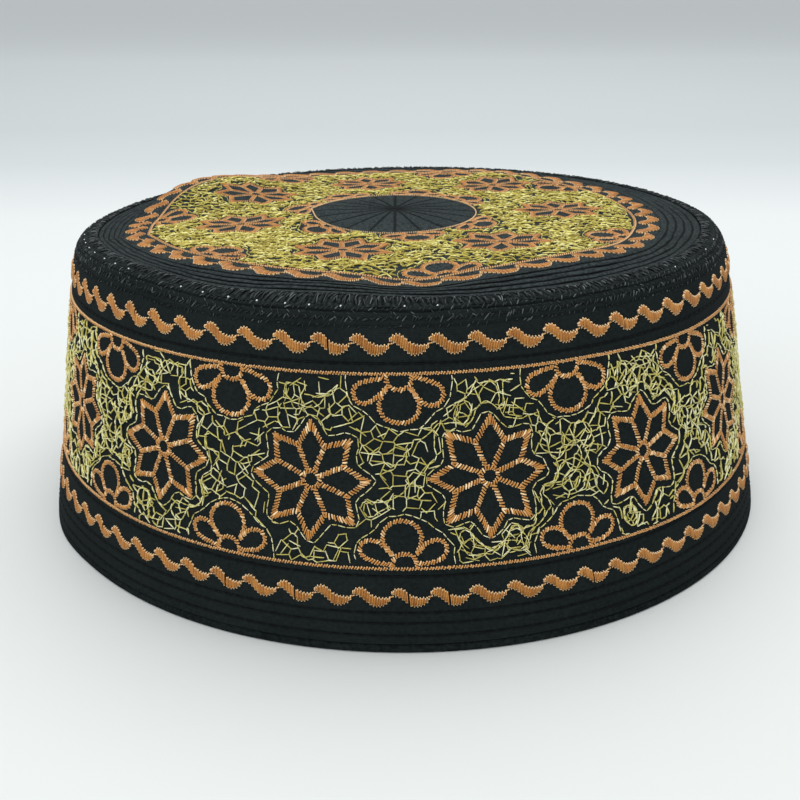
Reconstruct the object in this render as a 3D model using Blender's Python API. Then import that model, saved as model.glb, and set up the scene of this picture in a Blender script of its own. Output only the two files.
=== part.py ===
"""A stiff, flat-topped kufi, built as the four pieces that it is sewn from.

The cap stands on its hem. The origin is the middle of the hem on the floor, +Z is up, the front
faces -Y, and +X is on the right of someone who looks at the front. All sizes are in metres.
"""

import math
from typing import NamedTuple

import bmesh
import bpy
from mathutils import Vector

# Driving dimensions of the whole cap
HALF_WIDTH = 0.0930
HALF_LENGTH = 0.0970
RIM_HEIGHT = 0.0683

# Cloth thickness of the quilted pieces, and the gap that keeps sewn pieces apart
WALL = 0.0030
CROWN_THICKNESS = 0.0025
GAP = 0.0003

# The cap stands a little askew: its axis drifts sideways by this much up to the rim, and its right
# side is taller by this share of the height
AXIS_DRIFT = -0.0012
LEAN = 0.013

# Points round the cap, and rings of points across the crown
COLUMNS = 90
CROWN_RINGS = 12

# Creases sharper than this stay sharp edges
SHARP_ANGLE = math.radians(50)


class Level(NamedTuple):
    """One height of the side band, with the taper of its outer face as insets from the hem."""

    z: float
    side_inset: float
    front_inset: float


# The band narrows upwards. The last row is where the wall would meet the rim with no rounding.
WALL_LEVELS = [
    Level(z=0.0000, side_inset=0.0000, front_inset=0.0000),
    Level(z=0.0092, side_inset=0.0016, front_inset=0.0008),
    Level(z=0.0181, side_inset=0.0036, front_inset=0.0019),
    Level(z=0.0310, side_inset=0.0058, front_inset=0.0042),
    Level(z=0.0416, side_inset=0.0073, front_inset=0.0060),
    Level(z=0.0522, side_inset=0.0092, front_inset=0.0080),
    Level(z=0.0591, side_inset=0.0103, front_inset=0.0094),
    Level(z=RIM_HEIGHT, side_inset=0.0120, front_inset=0.0117),
]

# The rounded shoulder is a quarter of an ellipse, this far in and this far up
SHOULDER_IN = 0.0026
SHOULDER_UP = 0.0058
SHOULDER_STEPS = 4

# How far the band turns in over its shoulder, to the edge of the crown, and how thick it is there
LIP_INSET = 0.0034
LIP_THICKNESS = 0.0025
LIP_ROUND = 0.0015

# The hem edging is a thin rolled strip under the band
EDGING_HEIGHT = 0.0018
EDGING_OUT = 0.0001
EDGING_DEPTH = 0.0034
EDGING_FLAT = 0.0008
EDGING_ROUND = 0.0005

# The overcast seam is a low ridge that covers the joint between the band and the crown
SEAM_OUTER_INSET = 0.0017
SEAM_INNER_INSET = 0.0056
SEAM_HEIGHT = 0.0010
SEAM_STEPS = 6
SEAM_FLATNESS = 0.7

# The crown rises gently from its edge to the middle
CROWN_RISE = 0.0009
CROWN_CENTRE_RISE = 0.0006
CROWN_CENTRE_SPREAD = 0.022

# Shares of the crown's size between which its dents fade out, so that the seam lies level
FADE_START = 0.86
FADE_END = 0.97


class Dent(NamedTuple):
    """One soft hollow or bulge of the crown. Azimuth 0 is the front, and +90 the right."""

    azimuth: float
    radius: float
    azimuth_spread: float
    radial_spread: float
    height: float


DENTS = [
    Dent(azimuth=3, radius=0.064, azimuth_spread=9, radial_spread=0.012, height=-0.0016),
    Dent(azimuth=38, radius=0.062, azimuth_spread=20, radial_spread=0.014, height=0.0010),
    Dent(azimuth=-38, radius=0.062, azimuth_spread=22, radial_spread=0.014, height=0.0007),
    Dent(azimuth=-93, radius=0.066, azimuth_spread=11, radial_spread=0.012, height=-0.0015),
    Dent(azimuth=-122, radius=0.066, azimuth_spread=22, radial_spread=0.017, height=0.0040),
    Dent(azimuth=-92, radius=0.022, azimuth_spread=45, radial_spread=0.011, height=0.0008),
    Dent(azimuth=152, radius=0.064, azimuth_spread=20, radial_spread=0.014, height=0.0010),
]


def clear_scene():
    """Remove whatever the open file holds."""
    for old in list(bpy.data.objects):
        bpy.data.objects.remove(old, do_unlink=True)


def wall_size(z):
    """Half width and half length of the band's outer face at a height."""
    pairs = list(zip(WALL_LEVELS, WALL_LEVELS[1:]))
    low, high = next((pair for pair in pairs if z <= pair[1].z), pairs[-1])
    share = (z - low.z) / (high.z - low.z)
    side_inset = low.side_inset + share * (high.side_inset - low.side_inset)
    front_inset = low.front_inset + share * (high.front_inset - low.front_inset)
    return HALF_WIDTH - side_inset, HALF_LENGTH - front_inset


def stand(x, y, z):
    """A point of the upright cap, moved to where the cap's drift and lean put it."""
    return Vector((x + AXIS_DRIFT * z / RIM_HEIGHT, y, z * (1 + LEAN * x / HALF_WIDTH)))


def ring(inset, z):
    """One loop of points round the cap, an inset inside the band's outer face."""
    half_width, half_length = wall_size(z)
    points = []
    for column in range(COLUMNS):
        angle = 2 * math.pi * column / COLUMNS
        x = (half_width - inset) * math.sin(angle)
        y = -(half_length - inset) * math.cos(angle)
        points.append(stand(x, y, z))
    return points


def smooth_step(low, high, value):
    """0 below low, 1 above high, and an even S between them."""
    share = min(max((value - low) / (high - low), 0.0), 1.0)
    return share * share * (3 - 2 * share)


def crown_height(x, y, share):
    """Height of the crown's top at x, y, where share is 0 in its middle and 1 at its edge."""
    azimuth = math.degrees(math.atan2(x, -y))
    radius = math.hypot(x, y)
    height = CROWN_RISE + CROWN_CENTRE_RISE * math.exp(-(radius / CROWN_CENTRE_SPREAD) ** 2)
    for dent in DENTS:
        turn = (azimuth - dent.azimuth + 180) % 360 - 180
        reach = (turn / dent.azimuth_spread) ** 2
        reach += ((radius - dent.radius) / dent.radial_spread) ** 2
        height += dent.height * math.exp(-reach)
    return RIM_HEIGHT + height * (1 - smooth_step(FADE_START, FADE_END, share))


def crown_ring(number, depth):
    """One loop of the crown, counted from its middle, a depth below the top face.

    The last ring is the edge itself, and the one before it is where the level rim begins.
    """
    share = 1.0 if number == CROWN_RINGS else FADE_END * number / (CROWN_RINGS - 1)
    half_width, half_length = wall_size(RIM_HEIGHT)
    edge_inset = LIP_INSET + GAP
    points = []
    for column in range(COLUMNS):
        angle = 2 * math.pi * column / COLUMNS
        x = share * (half_width - edge_inset) * math.sin(angle)
        y = -share * (half_length - edge_inset) * math.cos(angle)
        points.append(stand(x, y, crown_height(x, y, share) - depth))
    return points


def shoulder_profile():
    """Insets and heights of the rounded shoulder, from the wall up to the rim."""
    profile = []
    for step in range(SHOULDER_STEPS + 1):
        angle = math.pi / 2 * step / SHOULDER_STEPS
        inset = SHOULDER_IN * (1 - math.cos(angle))
        z = RIM_HEIGHT - SHOULDER_UP * (1 - math.sin(angle))
        profile.append((inset, z))
    return profile


def band_profile():
    """Cross-section of the side band: up the outer face, over the shoulder, down the inner face."""
    bottom = EDGING_HEIGHT + GAP
    wall_heights = [level.z for level in WALL_LEVELS[1:-1]]
    outer = [(0.0, bottom)] + [(0.0, z) for z in wall_heights]
    lip_bottom = RIM_HEIGHT - LIP_THICKNESS
    lip = [(LIP_INSET, RIM_HEIGHT), (LIP_INSET, lip_bottom), (WALL, lip_bottom - LIP_ROUND)]
    inner = [(WALL, z) for z in reversed(wall_heights)] + [(WALL, bottom)]
    return outer + shoulder_profile() + lip + inner


def edging_profile():
    """Cross-section of the hem edging: a rounded strip with a flat sole and a flat top."""
    inner = EDGING_DEPTH - EDGING_OUT
    top = EDGING_HEIGHT
    return [
        (EDGING_FLAT, 0.0),
        (EDGING_OUT, EDGING_ROUND),
        (EDGING_OUT, top - EDGING_ROUND),
        (EDGING_FLAT, top),
        (inner - EDGING_FLAT, top),
        (inner, top - EDGING_ROUND),
        (inner, EDGING_ROUND),
        (inner - EDGING_FLAT, 0.0),
    ]


def seam_profile():
    """Cross-section of the overcast ridge, a low arch that lies over the band and the crown."""
    profile = []
    for step in range(SEAM_STEPS + 1):
        angle = math.pi * step / SEAM_STEPS
        across = (1 - math.cos(angle)) / 2
        up = math.sin(angle) ** SEAM_FLATNESS if 0 < step < SEAM_STEPS else 0.0
        inset = SEAM_OUTER_INSET + across * (SEAM_INNER_INSET - SEAM_OUTER_INSET)
        profile.append((inset, RIM_HEIGHT + GAP + up * SEAM_HEIGHT))
    return profile


def fan(bm, points, pole):
    """Close one end of a body with triangles from its last ring to a pole."""
    for i, point in enumerate(points):
        bm.faces.new((point, points[(i + 1) % COLUMNS], pole))


def skin(rings, poles=()):
    """Mesh of one closed body through rings of points.

    With two poles, the first and last rings close on them. With none, the last ring joins the first.
    """
    bm = bmesh.new()
    loops = [[bm.verts.new(point) for point in points] for points in rings]
    neighbours = list(zip(loops, loops[1:]))
    if poles:
        fan(bm, loops[0], bm.verts.new(poles[0]))
        fan(bm, loops[-1], bm.verts.new(poles[1]))
    else:
        neighbours.append((loops[-1], loops[0]))
    for low, high in neighbours:
        for i in range(COLUMNS):
            after = (i + 1) % COLUMNS
            bm.faces.new((low[i], low[after], high[after], high[i]))
    bmesh.ops.recalc_face_normals(bm, faces=bm.faces)
    mesh = bpy.data.meshes.new("skin")
    bm.to_mesh(mesh)
    bm.free()
    mesh.shade_smooth()
    mesh.set_sharp_from_angle(angle=SHARP_ANGLE)
    return mesh


def make_material(name, colour, roughness):
    """A plain cloth or thread finish."""
    material = bpy.data.materials.new(name)
    material.use_nodes = True
    shader = material.node_tree.nodes["Principled BSDF"]
    shader.inputs["Base Color"].default_value = (*colour, 1.0)
    shader.inputs["Roughness"].default_value = roughness
    shader.inputs["Metallic"].default_value = 0.0
    return material


def add_piece(name, mesh, colour, roughness):
    """Put one finished piece in the scene, with its own material."""
    mesh.name = name
    mesh.materials.append(make_material(name, colour, roughness))
    piece = bpy.data.objects.new(name, mesh)
    bpy.context.scene.collection.objects.link(piece)
    return piece


def make_side_band():
    """The upright wall, from the hem to the turned-in rim, open below."""
    mesh = skin([ring(inset, z) for inset, z in band_profile()])
    return add_piece("side_band", mesh, colour=(0.115, 0.105, 0.045), roughness=0.8)


def make_hem_edging():
    """The rolled strip that the cap stands on."""
    mesh = skin([ring(inset, z) for inset, z in edging_profile()])
    return add_piece("hem_edging", mesh, colour=(0.012, 0.013, 0.015), roughness=0.75)


def make_crown():
    """The round top, with its soft dents, inside the band's rim."""
    top = [crown_ring(number, 0.0) for number in range(1, CROWN_RINGS + 1)]
    bottom = [crown_ring(number, CROWN_THICKNESS) for number in range(CROWN_RINGS, 0, -1)]
    middle = crown_height(0.0, 0.0, 0.0)
    poles = (stand(0.0, 0.0, middle), stand(0.0, 0.0, middle - CROWN_THICKNESS))
    mesh = skin(top + bottom, poles)
    return add_piece("crown", mesh, colour=(0.115, 0.105, 0.045), roughness=0.8)


def make_crown_seam():
    """The overcast ridge round the crown's edge."""
    mesh = skin([ring(inset, z) for inset, z in seam_profile()])
    return add_piece("crown_seam", mesh, colour=(0.014, 0.016, 0.018), roughness=0.6)


def main():
    clear_scene()
    make_side_band()
    make_hem_edging()
    make_crown()
    make_crown_seam()


if __name__ == "__main__":
    main()
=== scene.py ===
"""An embroidered kufi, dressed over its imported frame.

The cap stands on its hem. The origin is the middle of the hem on the floor, +Z is up, the front
faces -Y, and +X is on the right of someone who looks at the front. All sizes are in metres and all
angles in degrees, unless a name says otherwise.

Cloth is addressed by charts. On the band a chart point is (way round, way up the face), and on the
crown it is (x, y) seen from above. Every stitch is drawn on a chart and then laid on its cloth.
"""

import logging
import math
from dataclasses import dataclass, replace
from enum import Enum
from functools import partial

import bpy
import numpy as np
from mathutils import Euler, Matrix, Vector
from mathutils.geometry import delaunay_2d_cdt


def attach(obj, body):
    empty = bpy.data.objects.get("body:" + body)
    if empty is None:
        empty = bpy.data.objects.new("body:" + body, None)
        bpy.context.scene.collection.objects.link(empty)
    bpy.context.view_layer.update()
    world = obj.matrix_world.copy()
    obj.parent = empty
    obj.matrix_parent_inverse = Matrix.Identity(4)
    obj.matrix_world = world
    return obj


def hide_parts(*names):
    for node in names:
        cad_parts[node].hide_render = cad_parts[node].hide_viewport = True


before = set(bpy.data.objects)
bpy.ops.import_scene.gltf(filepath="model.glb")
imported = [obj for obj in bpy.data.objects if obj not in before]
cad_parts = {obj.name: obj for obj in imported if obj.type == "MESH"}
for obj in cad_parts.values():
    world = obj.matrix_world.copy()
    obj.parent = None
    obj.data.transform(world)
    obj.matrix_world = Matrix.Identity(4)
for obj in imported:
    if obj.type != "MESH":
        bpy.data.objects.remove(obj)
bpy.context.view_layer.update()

MM = 0.001
TURN = 2 * math.pi
BODY = "root"
LOG = logging.getLogger("kufi")
Array = np.ndarray
Rng = np.random.Generator
Piece = bpy.types.Object
Pair = tuple[float, float]
Triple = tuple[float, float, float]
Colour = Triple


# Small helpers for arrays


def unit(vectors: Array) -> Array:
    """The vectors at length 1."""
    return vectors / np.maximum(np.linalg.norm(vectors, axis=-1, keepdims=True), 1e-12)


def pair(x: Array, y: Array) -> Array:
    """Points or directions from their two coordinates."""
    return np.stack([x, y], axis=-1)


def ray(angle: Array) -> Array:
    """Unit directions on a chart for angles in radians, from up and growing to the right."""
    return pair(np.sin(angle), np.cos(angle))


def bell(value: Array, middle: float, spread: float) -> Array:
    """1 at the middle, and next to nothing from two spreads away."""
    return np.exp(-(((value - middle) / spread) ** 2))


def degrees_from(azimuth: Array, middle: float) -> Array:
    """Degrees from a middle to azimuths, the short way round."""
    return (azimuth - middle + 180) % 360 - 180


def bell_round(azimuth: Array, middle: float, spread: float) -> Array:
    """A bell over azimuths in degrees."""
    return bell(degrees_from(azimuth, middle), 0.0, spread)


def upward(height: Array) -> Array:
    """Vectors straight up."""
    return np.stack([0 * height, 0 * height, height], axis=-1)


def even_turns(count: int) -> Array:
    """Even angles all the way round, in radians."""
    return np.arange(count) * TURN / count


def smooth_step(low: float, high: float, value: Array) -> Array:
    """0 below low, 1 above high, and an even S between them."""
    share = np.clip((value - low) / (high - low), 0.0, 1.0)
    return share * share * (3 - 2 * share)


def left_of(directions: Array) -> Array:
    """Chart directions turned a quarter to their left."""
    return pair(-directions[..., 1], directions[..., 0])


def lengths_to(path: Array) -> Array:
    """A polyline's length up to each of its corners."""
    return np.concatenate([[0.0], np.cumsum(np.linalg.norm(np.diff(path, axis=0), axis=1))])


def points_along(path: Array, ends: Array, way: Array) -> Array:
    """Chart points at lengths along a polyline, with ends its length up to each corner."""
    return pair(*(np.interp(way, ends, path[:, axis]) for axis in (0, 1)))


def resampled(path: Array, pitch: float, closed: bool = False) -> tuple[Array, Array]:
    """Even steps along a polyline.

    Args:
        path: Chart points of the polyline.
        pitch: The wanted step, which is stretched a little to fit a whole number in.
        closed: Whether the last point joins the first.

    Returns:
        Points in the middle of each step, and the path's unit direction at each.
    """
    if closed:
        path = np.vstack([path, path[:1]])
    ends = lengths_to(path)
    count = max(int(round(ends[-1] / pitch)), 2)
    way = (np.arange(count) + 0.5) * ends[-1] / count
    ahead = points_along(path, ends, way + pitch / 3) - points_along(path, ends, way - pitch / 3)
    return points_along(path, ends, way), unit(ahead)


def waver(angle: Array, phase: Array = 0.0) -> Array:
    """An uneven closed wave from -1 to 1 round the cap: three sines of different lengths."""
    waves = np.sin(17 * angle + phase) + 0.8 * np.sin(31 * angle + 1.3 + 1.7 * phase)
    return (waves + 0.6 * np.sin(53 * angle + 0.7 - 1.1 * phase)) / 2.4


def rounded(path: Array, closed: bool = False, passes: int = 3) -> Array:
    """A polyline with its corners cut again and again: each leg gives points at 1/4 and 3/4 of it."""
    for _ in range(passes):
        after = np.roll(path, -1, axis=0) if closed else path[1:]
        before = path if closed else path[:-1]
        cut = np.stack([0.75 * before + 0.25 * after, 0.25 * before + 0.75 * after], axis=1)
        cut = cut.reshape(-1, 2)
        path = cut if closed else np.vstack([path[:1], cut[1:-1], path[-1:]])
    return path


def turned(degrees: float) -> Array:
    """The matrix that turns rows of chart points to the left by an angle."""
    cos, sin = math.cos(math.radians(degrees)), math.sin(math.radians(degrees))
    return np.array([[cos, sin], [-sin, cos]])


def mirrored(path: Array) -> Array:
    """A path on the left for one on the right, run the other way so that its left stays outward."""
    return (path * [-1.0, 1.0])[::-1]


# The cap's form, with the same named values as the solids


@dataclass(frozen=True)
class Dent:
    """One soft hollow or bulge of the crown. Azimuth 0 is the front, and +90 the right."""

    azimuth: float
    radius: float
    azimuth_spread: float
    radial_spread: float
    height: float


@dataclass(frozen=True)
class CapForm:
    """The bare shape of the cap: a tapering oval band, a rounded shoulder and a dented crown."""

    half_width: float = 0.0930
    half_length: float = 0.0970
    rim_height: float = 0.0683
    wall: float = 0.0030
    crown_thickness: float = 0.0025
    gap: float = 0.0003
    axis_drift: float = -0.0012
    lean: float = 0.013
    shoulder_in: float = 0.0026
    shoulder_up: float = 0.0058
    lip_inset: float = 0.0034
    lip_thickness: float = 0.0025
    lip_round: float = 0.0015
    edging_height: float = 0.0018
    seam_inner: float = 0.0056
    crown_rise: float = 0.0009
    crown_centre_rise: float = 0.0006
    crown_centre_spread: float = 0.022
    fade_start: float = 0.86
    fade_end: float = 0.97
    levels: tuple[Triple, ...] = (
        (0.0000, 0.0000, 0.0000), (0.0092, 0.0016, 0.0008), (0.0181, 0.0036, 0.0019),
        (0.0310, 0.0058, 0.0042), (0.0416, 0.0073, 0.0060), (0.0522, 0.0092, 0.0080),
        (0.0591, 0.0103, 0.0094), (0.0683, 0.0120, 0.0117),
    )
    dents: tuple[Dent, ...] = (
        Dent(3, 0.064, 9, 0.012, -0.0016),
        Dent(38, 0.062, 20, 0.014, 0.0010),
        Dent(-38, 0.062, 22, 0.014, 0.0007),
        Dent(-93, 0.066, 11, 0.012, -0.0015),
        Dent(-122, 0.066, 22, 0.017, 0.0040),
        Dent(-92, 0.022, 45, 0.011, 0.0008),
        Dent(152, 0.064, 20, 0.014, 0.0010),
    )
    crests: tuple[Triple, ...] = ((-43.0, 13.0, 0.0012), (-64.0, 18.0, 0.0014))
    crest_foot: float = 0.0605
    crest_shares: Pair = (0.83, 0.95)
    seam_swell: Triple = (-11.0, 14.0, 0.0032)
    hem_push: tuple[float, float, float, float] = (-62.0, 9.0, 0.0008, 0.02)

    def swell(self, angle: Array) -> Array:
        """How much wider the seam is inwards at ellipse angles in radians: a bell near the front."""
        middle, spread, width = self.seam_swell
        return width * bell_round(np.degrees(angle), middle, spread)

    def wall_size(self, z: Array) -> tuple[Array, Array]:
        """Half width and half length of the band's outer face, straight between its levels."""
        table = np.array(self.levels)
        side_inset = np.interp(z, table[:, 0], table[:, 1])
        front_inset = np.interp(z, table[:, 0], table[:, 2])
        return self.half_width - side_inset, self.half_length - front_inset

    def crest(self, x: Array, y: Array, z: Array) -> Array:
        """How far the cap's top edge is pulled up: bells over azimuth, for the edge alone.

        Crests are (azimuth, spread, height). They fade out inwards on the crown and down the wall.
        """
        half_width, half_length = self.wall_size(np.array(self.rim_height))
        azimuth = np.degrees(np.arctan2(x, -y))
        rise = np.zeros_like(azimuth)
        for middle, spread, height in self.crests:
            rise = rise + height * bell_round(azimuth, middle, spread)
        share = np.hypot(x / half_width, y / half_length)
        rise = rise * smooth_step(*self.crest_shares, share)
        return rise * smooth_step(self.crest_foot, self.rim_height, z)

    def stand(self, x: Array, y: Array, z: Array) -> Array:
        """Points of the upright cap, moved to where its push, drift, lean and crests put them.

        The hem is pushed out at one azimuth, by a bell that fades out up the wall.
        """
        x, y, z = np.broadcast_arrays(x, y, z)
        middle, spread, push, top = self.hem_push
        azimuth = np.degrees(np.arctan2(x, -y))
        grown = 1 + push / self.half_width * bell(azimuth, middle, spread) * (1 - smooth_step(0.0, top, z))
        x, y = x * grown, y * grown
        drifted = x + self.axis_drift * z / self.rim_height
        leaning = z * (1 + self.lean * x / self.half_width)
        return np.stack([drifted, y, leaning + self.crest(x, y, z)], axis=-1)

    def loop(self, angle: Array, inset: Array, z: Array) -> Array:
        """Points round the cap at ellipse angles in radians, an inset inside the outer face."""
        half_width, half_length = self.wall_size(z)
        x = (half_width - inset) * np.sin(angle)
        y = -(half_length - inset) * np.cos(angle)
        return self.stand(x, y, z)

    def rings(self, angle: Array, profile: Array) -> Array:
        """The rings that a profile of (inset, z) points draws round the cap."""
        return np.stack([self.loop(angle, inset, np.full_like(angle, z)) for inset, z in profile])

    def oval_angle(self, way: Array) -> Array:
        """The ellipse angle at a share of the way round, both in radians.

        Equal ways are equal lengths of cloth: angle = way + k sin(2 way), with k the difference of
        the squared half axes over 8 times the squared mean radius.
        """
        half_width, half_length = self.half_width, self.half_length
        mean = (half_width + half_length) / 2
        bend = (half_length**2 - half_width**2) / (8 * mean**2)
        return way + bend * np.sin(2 * way)

    def crown_height(self, x: Array, y: Array) -> Array:
        """Height of the crown's top: a low dome and the dents, all fading out towards the edge.

        Each dent is a bell over its azimuth and radius. The middle has a bell of its own.
        """
        half_width, half_length = self.wall_size(np.array(self.rim_height))
        edge = self.lip_inset + self.gap
        share = np.hypot(x / (half_width - edge), y / (half_length - edge))
        azimuth = np.degrees(np.arctan2(x, -y))
        radius = np.hypot(x, y)
        height = self.crown_rise + self.crown_centre_rise * bell(radius, 0.0, self.crown_centre_spread)
        for dent in self.dents:
            reach = (degrees_from(azimuth, dent.azimuth) / dent.azimuth_spread) ** 2
            reach = reach + ((radius - dent.radius) / dent.radial_spread) ** 2
            height = height + dent.height * np.exp(-reach)
        return self.rim_height + height * (1 - smooth_step(self.fade_start, self.fade_end, share))


# Cloth that carries stitches


class Cloth:
    """A face of cloth, addressed by chart points in metres."""

    def place(self, chart: Array) -> Array:
        """Points of the face for chart points."""
        raise NotImplementedError

    def normals(self, chart: Array) -> Array:
        """Unit outward directions, from small steps both ways along both chart axes."""
        step = 2e-5
        right = self.place(chart + [step, 0.0]) - self.place(chart - [step, 0.0])
        up = self.place(chart + [0.0, step]) - self.place(chart - [0.0, step])
        return unit(np.cross(right, up))


@dataclass(frozen=True)
class BandCloth(Cloth):
    """The outer face of the band, from the hem over the shoulder to the crown's edge."""

    form: CapForm
    reach: float = 0.0868
    section_steps: int = 24

    def section(self) -> Array:
        """Rows of (way up, inset, z): straight up the wall, then a quarter ellipse, then inwards."""
        form = self.form
        angle = np.linspace(0.0, math.pi / 2, self.section_steps)
        inset = form.shoulder_in * (1 - np.cos(angle))
        z = form.rim_height - form.shoulder_up * (1 - np.sin(angle))
        inset = np.concatenate([[0.0], inset, [form.seam_inner + 0.001]])
        z = np.concatenate([[0.0], z, [form.rim_height]])
        steps = np.hypot(np.diff(inset), np.diff(z))
        way = np.concatenate([[0.0], np.cumsum(steps)])
        return np.stack([way, inset, z], axis=1)

    def place(self, chart: Array) -> Array:
        """Points of the face: the way up gives inset and height, and the way round the angle."""
        section = self.section()
        inset = np.interp(chart[..., 1], section[:, 0], section[:, 1])
        z = np.interp(chart[..., 1], section[:, 0], section[:, 2])
        angle = self.form.oval_angle(chart[..., 0] / self.reach)
        return self.form.loop(angle, inset, z)

    def around(self) -> float:
        """Chart length of one full turn."""
        return TURN * self.reach

    def row(self, count: int, way_up: float) -> Array:
        """Even chart points all the way round at a height."""
        return pair(np.arange(count) * self.around() / count, np.full(count, way_up))

    def squeeze(self, way_up: float) -> float:
        """Chart length for each metre of real cloth round the band at a height."""
        half_width, half_length = self.form.wall_size(np.array(way_up))
        return self.reach / math.sqrt((half_width**2 + half_length**2) / 2)

    def at(self, azimuth: float, way_up: float, local: Array, way: float = 1.0) -> Array:
        """Chart points for a motif's own points, with its middle at an azimuth and a way up.

        Way is -1 for a motif that hangs down, turned half round.
        """
        middle = np.array([math.radians(azimuth) * self.reach, way_up])
        return middle + local * way * [self.squeeze(way_up), 1.0]


@dataclass(frozen=True)
class Ring:
    """An oval line on the crown's chart, with one corner between two straight sides, and bulges.

    The corner is (azimuth, half width) in degrees. A straight side's radius is the oval's divided
    by the cosine of the angle to where it leaves the oval. A bulge is a bell (azimuth, width in
    degrees, height).
    """

    x: float
    y: float
    radius: float
    stretch: float
    corner: Pair = (0.0, 0.0)
    bulges: tuple[Triple, ...] = ()

    def reach(self, azimuth: Array) -> Array:
        """The line's radius at azimuths in radians."""
        middle, half = self.corner
        azimuth = np.degrees(azimuth)
        turn = np.abs(degrees_from(azimuth, middle))
        radius = self.radius / np.cos(np.radians(np.maximum(half - turn, 0.0)))
        for middle, width, height in self.bulges:
            radius = radius + height * bell_round(azimuth, middle, width)
        return radius

    def point(self, azimuth: Array, inward: Array = 0.0) -> Array:
        """Chart points of the line at azimuths in radians, moved inward by a length."""
        radius = self.reach(azimuth) - inward
        return pair(self.x + radius * np.sin(azimuth), self.y - self.stretch * radius * np.cos(azimuth))

    def hung(self, azimuth: float, local: Array) -> Array:
        """Chart points of a motif that grows inward from the line, bent along it."""
        way = math.radians(azimuth) + local[..., 0] / self.radius
        return self.point(way, local[..., 1])

    def stood(self, azimuth: float, local: Array, size: float) -> Array:
        """Chart points of a motif that grows outward from the line, bent along it."""
        way = math.radians(azimuth) - local[..., 0] * size / self.radius
        return self.point(way, -local[..., 1] * size)

    def share(self, chart: Array) -> Array:
        """How far out chart points are, where 1 is on the line."""
        x = chart[..., 0] - self.x
        y = (chart[..., 1] - self.y) / self.stretch
        return np.hypot(x, y) / self.reach(np.arctan2(x, -y))


OUTER_BULGES = ((50.0, 13.0, 0.0024), (95.0, 16.0, -0.0012), (-4.0, 22.0, -0.0011))


@dataclass(frozen=True)
class CrownCloth(Cloth):
    """The top face of the crown, charted from above."""

    form: CapForm

    def place(self, chart: Array) -> Array:
        """Points of the face right over or under their chart points."""
        x = chart[..., 0] - self.form.axis_drift
        y = chart[..., 1]
        return self.form.stand(x, y, self.form.crown_height(x, y))

    def edge(self, azimuth: Array, inset: Array) -> Array:
        """Chart points round the crown, an inset inside the band's outer face."""
        return self.form.loop(azimuth, inset, np.full_like(azimuth, self.form.rim_height))[..., :2]


# Meshes


def grid_faces(rows: int, columns: int, rows_closed: bool) -> Array:
    """Corner numbers of the quads of a grid whose columns go all the way round."""
    count = rows if rows_closed else rows - 1
    row, column = np.meshgrid(np.arange(count), np.arange(columns), indexing="ij")
    below = row * columns
    above = (row + 1) % rows * columns
    after = (column + 1) % columns
    corners = (below + column, below + after, above + after, above + column)
    return np.stack([corner.ravel() for corner in corners], axis=1)


def fans(corners: int, top: int, first: int) -> Array:
    """Triangles that close two rings of corners, each onto one point.

    The rings begin at corner 0 and at corner top, and the points are first and first + 1.
    """
    here = np.arange(corners)
    after = (here + 1) % corners
    start = np.stack([np.full(corners, first), after, here], axis=1)
    end = np.stack([top + here, top + after, np.full(corners, first + 1)], axis=1)
    return np.vstack([start, end])


def add_mesh(name: str, points: Array, faces: list[Array], uv: Array | None = None) -> Piece:
    """A smooth-shaded object at the origin from arrays.

    Args:
        name: The piece's name.
        points: Its vertices.
        faces: Arrays of corner numbers, each for faces of one size.
        uv: A point of the texture map for each corner, in the faces' order.

    Returns:
        The new object, linked to the scene.
    """
    loops = np.concatenate([part.ravel() for part in faces]).astype(np.int32)
    sizes = np.concatenate([np.full(len(part), part.shape[1]) for part in faces]).astype(np.int32)
    starts = np.concatenate([[0], np.cumsum(sizes)[:-1]]).astype(np.int32)
    mesh = bpy.data.meshes.new(name)
    mesh.vertices.add(len(points))
    mesh.vertices.foreach_set("co", points.astype(np.float32).ravel())
    mesh.loops.add(len(loops))
    mesh.loops.foreach_set("vertex_index", loops)
    mesh.polygons.add(len(sizes))
    mesh.polygons.foreach_set("loop_start", starts)
    mesh.polygons.foreach_set("loop_total", sizes)
    mesh.update(calc_edges=True)
    if uv is not None:
        layer = mesh.uv_layers.new(name="UVMap")
        layer.uv.foreach_set("vector", uv.astype(np.float32).ravel())
    mesh.shade_smooth()
    piece = bpy.data.objects.new(name, mesh)
    bpy.context.scene.collection.objects.link(piece)
    return piece


def add_values(piece: Piece, name: str, values: Array) -> None:
    """Give each vertex of a piece a number that its material can read."""
    attribute = piece.data.attributes.new(name=name, type="FLOAT", domain="POINT")
    attribute.data.foreach_set("value", values.astype(np.float32).ravel())


def loft(name: str, points: Array, closed: bool, poles: tuple[Array, ...] = ()) -> Piece:
    """A closed body from rings of points, each row of the grid being one ring.

    Args:
        name: The piece's name.
        points: A grid of points, rows by columns.
        closed: Whether the last ring joins the first.
        poles: Otherwise, the two points that close the first and the last ring.

    Returns:
        The new object, its texture map running once round and once along the rows.
    """
    rows, columns = points.shape[:2]
    quads = grid_faces(rows, columns, closed)
    count = len(quads) // columns
    row, column = np.meshgrid(np.arange(count), np.arange(columns), indexing="ij")
    corners = [(column, row), (column + 1, row), (column + 1, row + 1), (column, row + 1)]
    uv = np.stack([pair(u / columns, v / count) for u, v in corners], axis=2).reshape(-1, 2)
    flat, faces = points.reshape(-1, 3), [quads]
    if poles:
        flat = np.vstack([flat, *poles])
        faces.append(fans(columns, (rows - 1) * columns, rows * columns))
        uv = np.vstack([uv, np.tile(uv[:3], (2 * columns, 1))])
    return add_mesh(name, flat, faces, uv)


# Stitches


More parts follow.
